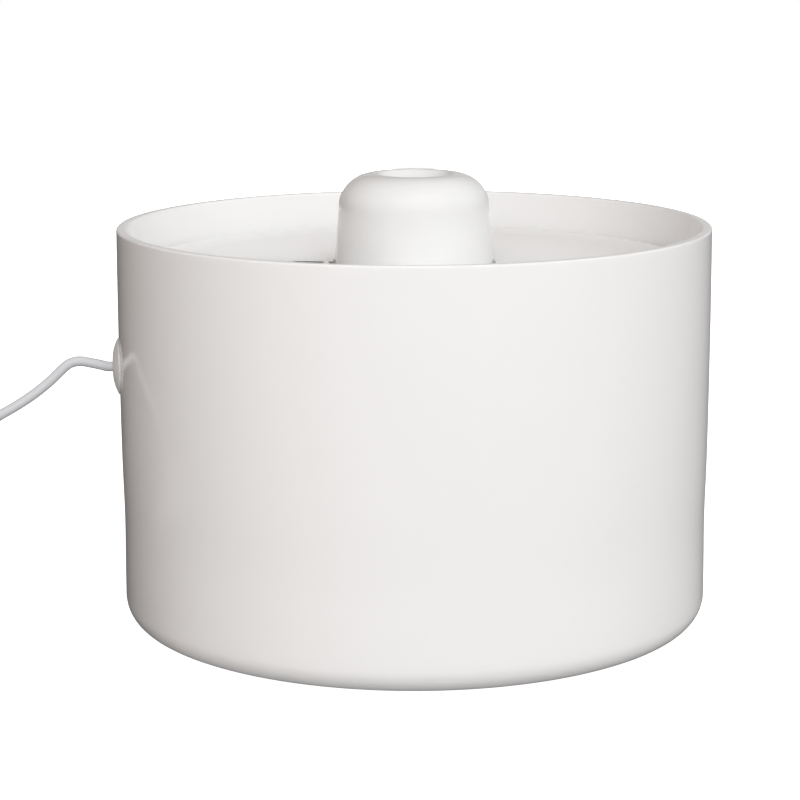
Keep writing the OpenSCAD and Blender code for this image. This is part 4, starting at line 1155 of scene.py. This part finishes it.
@dataclass
class Studio:
    """Pale floor, white surroundings, soft lamps, grey cards beside the view, and the camera."""

    eye: Triple = (-124.91, -869.3, 259.68)
    target: Triple = (-5.329, 0.749, 80.472)
    roll: float = -0.169
    focal_pixels: float = 2379.4
    frame_pixels: float = 800.0
    sensor: float = 36.0
    ambient: Triple = (0.155, 0.115, 0.095)
    floor_tone: Triple = (0.62, 0.61, 0.6)
    floor_shade: float = 0.95
    floor_glow: float = 0.72
    floor_r: float = 1600.0
    lamps: tuple[Lamp, ...] = (
        Lamp("key", -98, 42, 2.2, 44.3),
        Lamp("key_right", -66, 42, 1.4, 6.5),
        Lamp("right", 0, 20, 1.2, 10.5),
        Lamp("right_back", 40, 15, 1.2, 11.0),
        Lamp("back", 84, 12, 0.7, 22.0),
        Lamp("left", -170, 30, 1.4, 2.0, (1.0, 0.62, 0.44)),
    )
    cards: tuple[Card, ...] = (
        Card("floor_card", 0.02, (101.2, 0.2), (1590, 0.2)),
        Card("low_card", 0.0, (1590, 0.2), (1590, 700)),
        Card("high_card", 0.1, (1590, 700), (1, 1900)),
        Card("backdrop_card", 0.4, (1580, 60), (1580, 560), (45, 120)),
        Card("left_card", 0.32, (113, 1.0), (500, 1.0), (120, 207), False),
        # Painted shade: a grey ring under the foot that bounce light sees instead of the floor, standing in
        # for the shadow under the drum's foot
        Card("foot_shadow_card", 0.45, (101.2, 0.2), (113, 0.2), (0, 360), False),
    )

    def camera(self) -> None:
        """Places the camera at the recorded viewpoint and makes it the scene's."""
        data = bpy.data.cameras.new("camera")
        data.sensor_width = self.sensor
        data.lens = self.focal_pixels / self.frame_pixels * self.sensor
        eye = bpy.data.objects.new("camera", data)
        pose = facing(Vector(self.eye) * MM, Vector(self.target) * MM)
        eye.matrix_world = pose @ Matrix.Rotation(math.radians(self.roll), 4, "Z")
        bpy.context.scene.collection.objects.link(eye)
        bpy.context.scene.camera = eye

    def world(self) -> None:
        """White to the camera and to mirrors, and a plain pale grey for the light itself."""
        world = bpy.data.worlds.new("studio")
        bpy.context.scene.world = world
        world.use_nodes = True
        tree = world.node_tree
        tree.nodes.clear()
        room = add_node(tree, "Background", {"Color": (*self.ambient, 1)})
        white = add_node(tree, "Background", {"Color": (1, 1, 1, 1)})
        sky = add_node(tree, "MixShader", {0: seen_rays(tree), 1: room.outputs[0], 2: white.outputs[0]})
        add_node(tree, "OutputWorld", {0: sky.outputs[0]})

    def floor(self) -> None:
        """Pale floor that shows white to the camera but keeps the soft shadow."""
        r, a = np.array([[0, self.floor_r]]), angles(96)[:, None]
        floor = surface("floor", turned(r, a, 0.0), True, False)
        tree = emptied(floor.data, "pale_floor")
        plain = add_node(tree, "BsdfDiffuse", {"Color": (*self.floor_tone, 1)})
        shaded = add_node(tree, "BsdfDiffuse", {"Color": (*[self.floor_shade] * 3, 1)})
        glow = add_node(tree, "Emission", {"Color": (1, 1, 1, 1), "Strength": self.floor_glow})
        white = add_node(tree, "AddShader", {0: shaded.outputs[0], 1: glow.outputs[0]})
        both = add_node(tree, "MixShader", {0: seen_rays(tree), 1: plain.outputs[0], 2: white.outputs[0]})
        add_node(tree, "OutputMaterial", {0: both.outputs[0]})

    def build(self) -> None:
        """Adds the surroundings, the lamps and the cards."""
        self.world()
        self.floor()
        for item in (*self.lamps, *self.cards):
            item.build()


def main() -> None:
    """Builds the camera and the lead, then the ceramic, the kept solids and the studio."""
    logging.basicConfig(level=logging.INFO, format="%(name)s: %(message)s")
    studio = Studio()
    studio.camera()
    drum = Drum()
    Lead(drum).build()
    drum.build()
    Plate().build()
    Dome().build()
    dress_solids()
    studio.build()
    bpy.context.scene.view_settings.view_transform = "Standard"


if __name__ == "__main__":
    main()
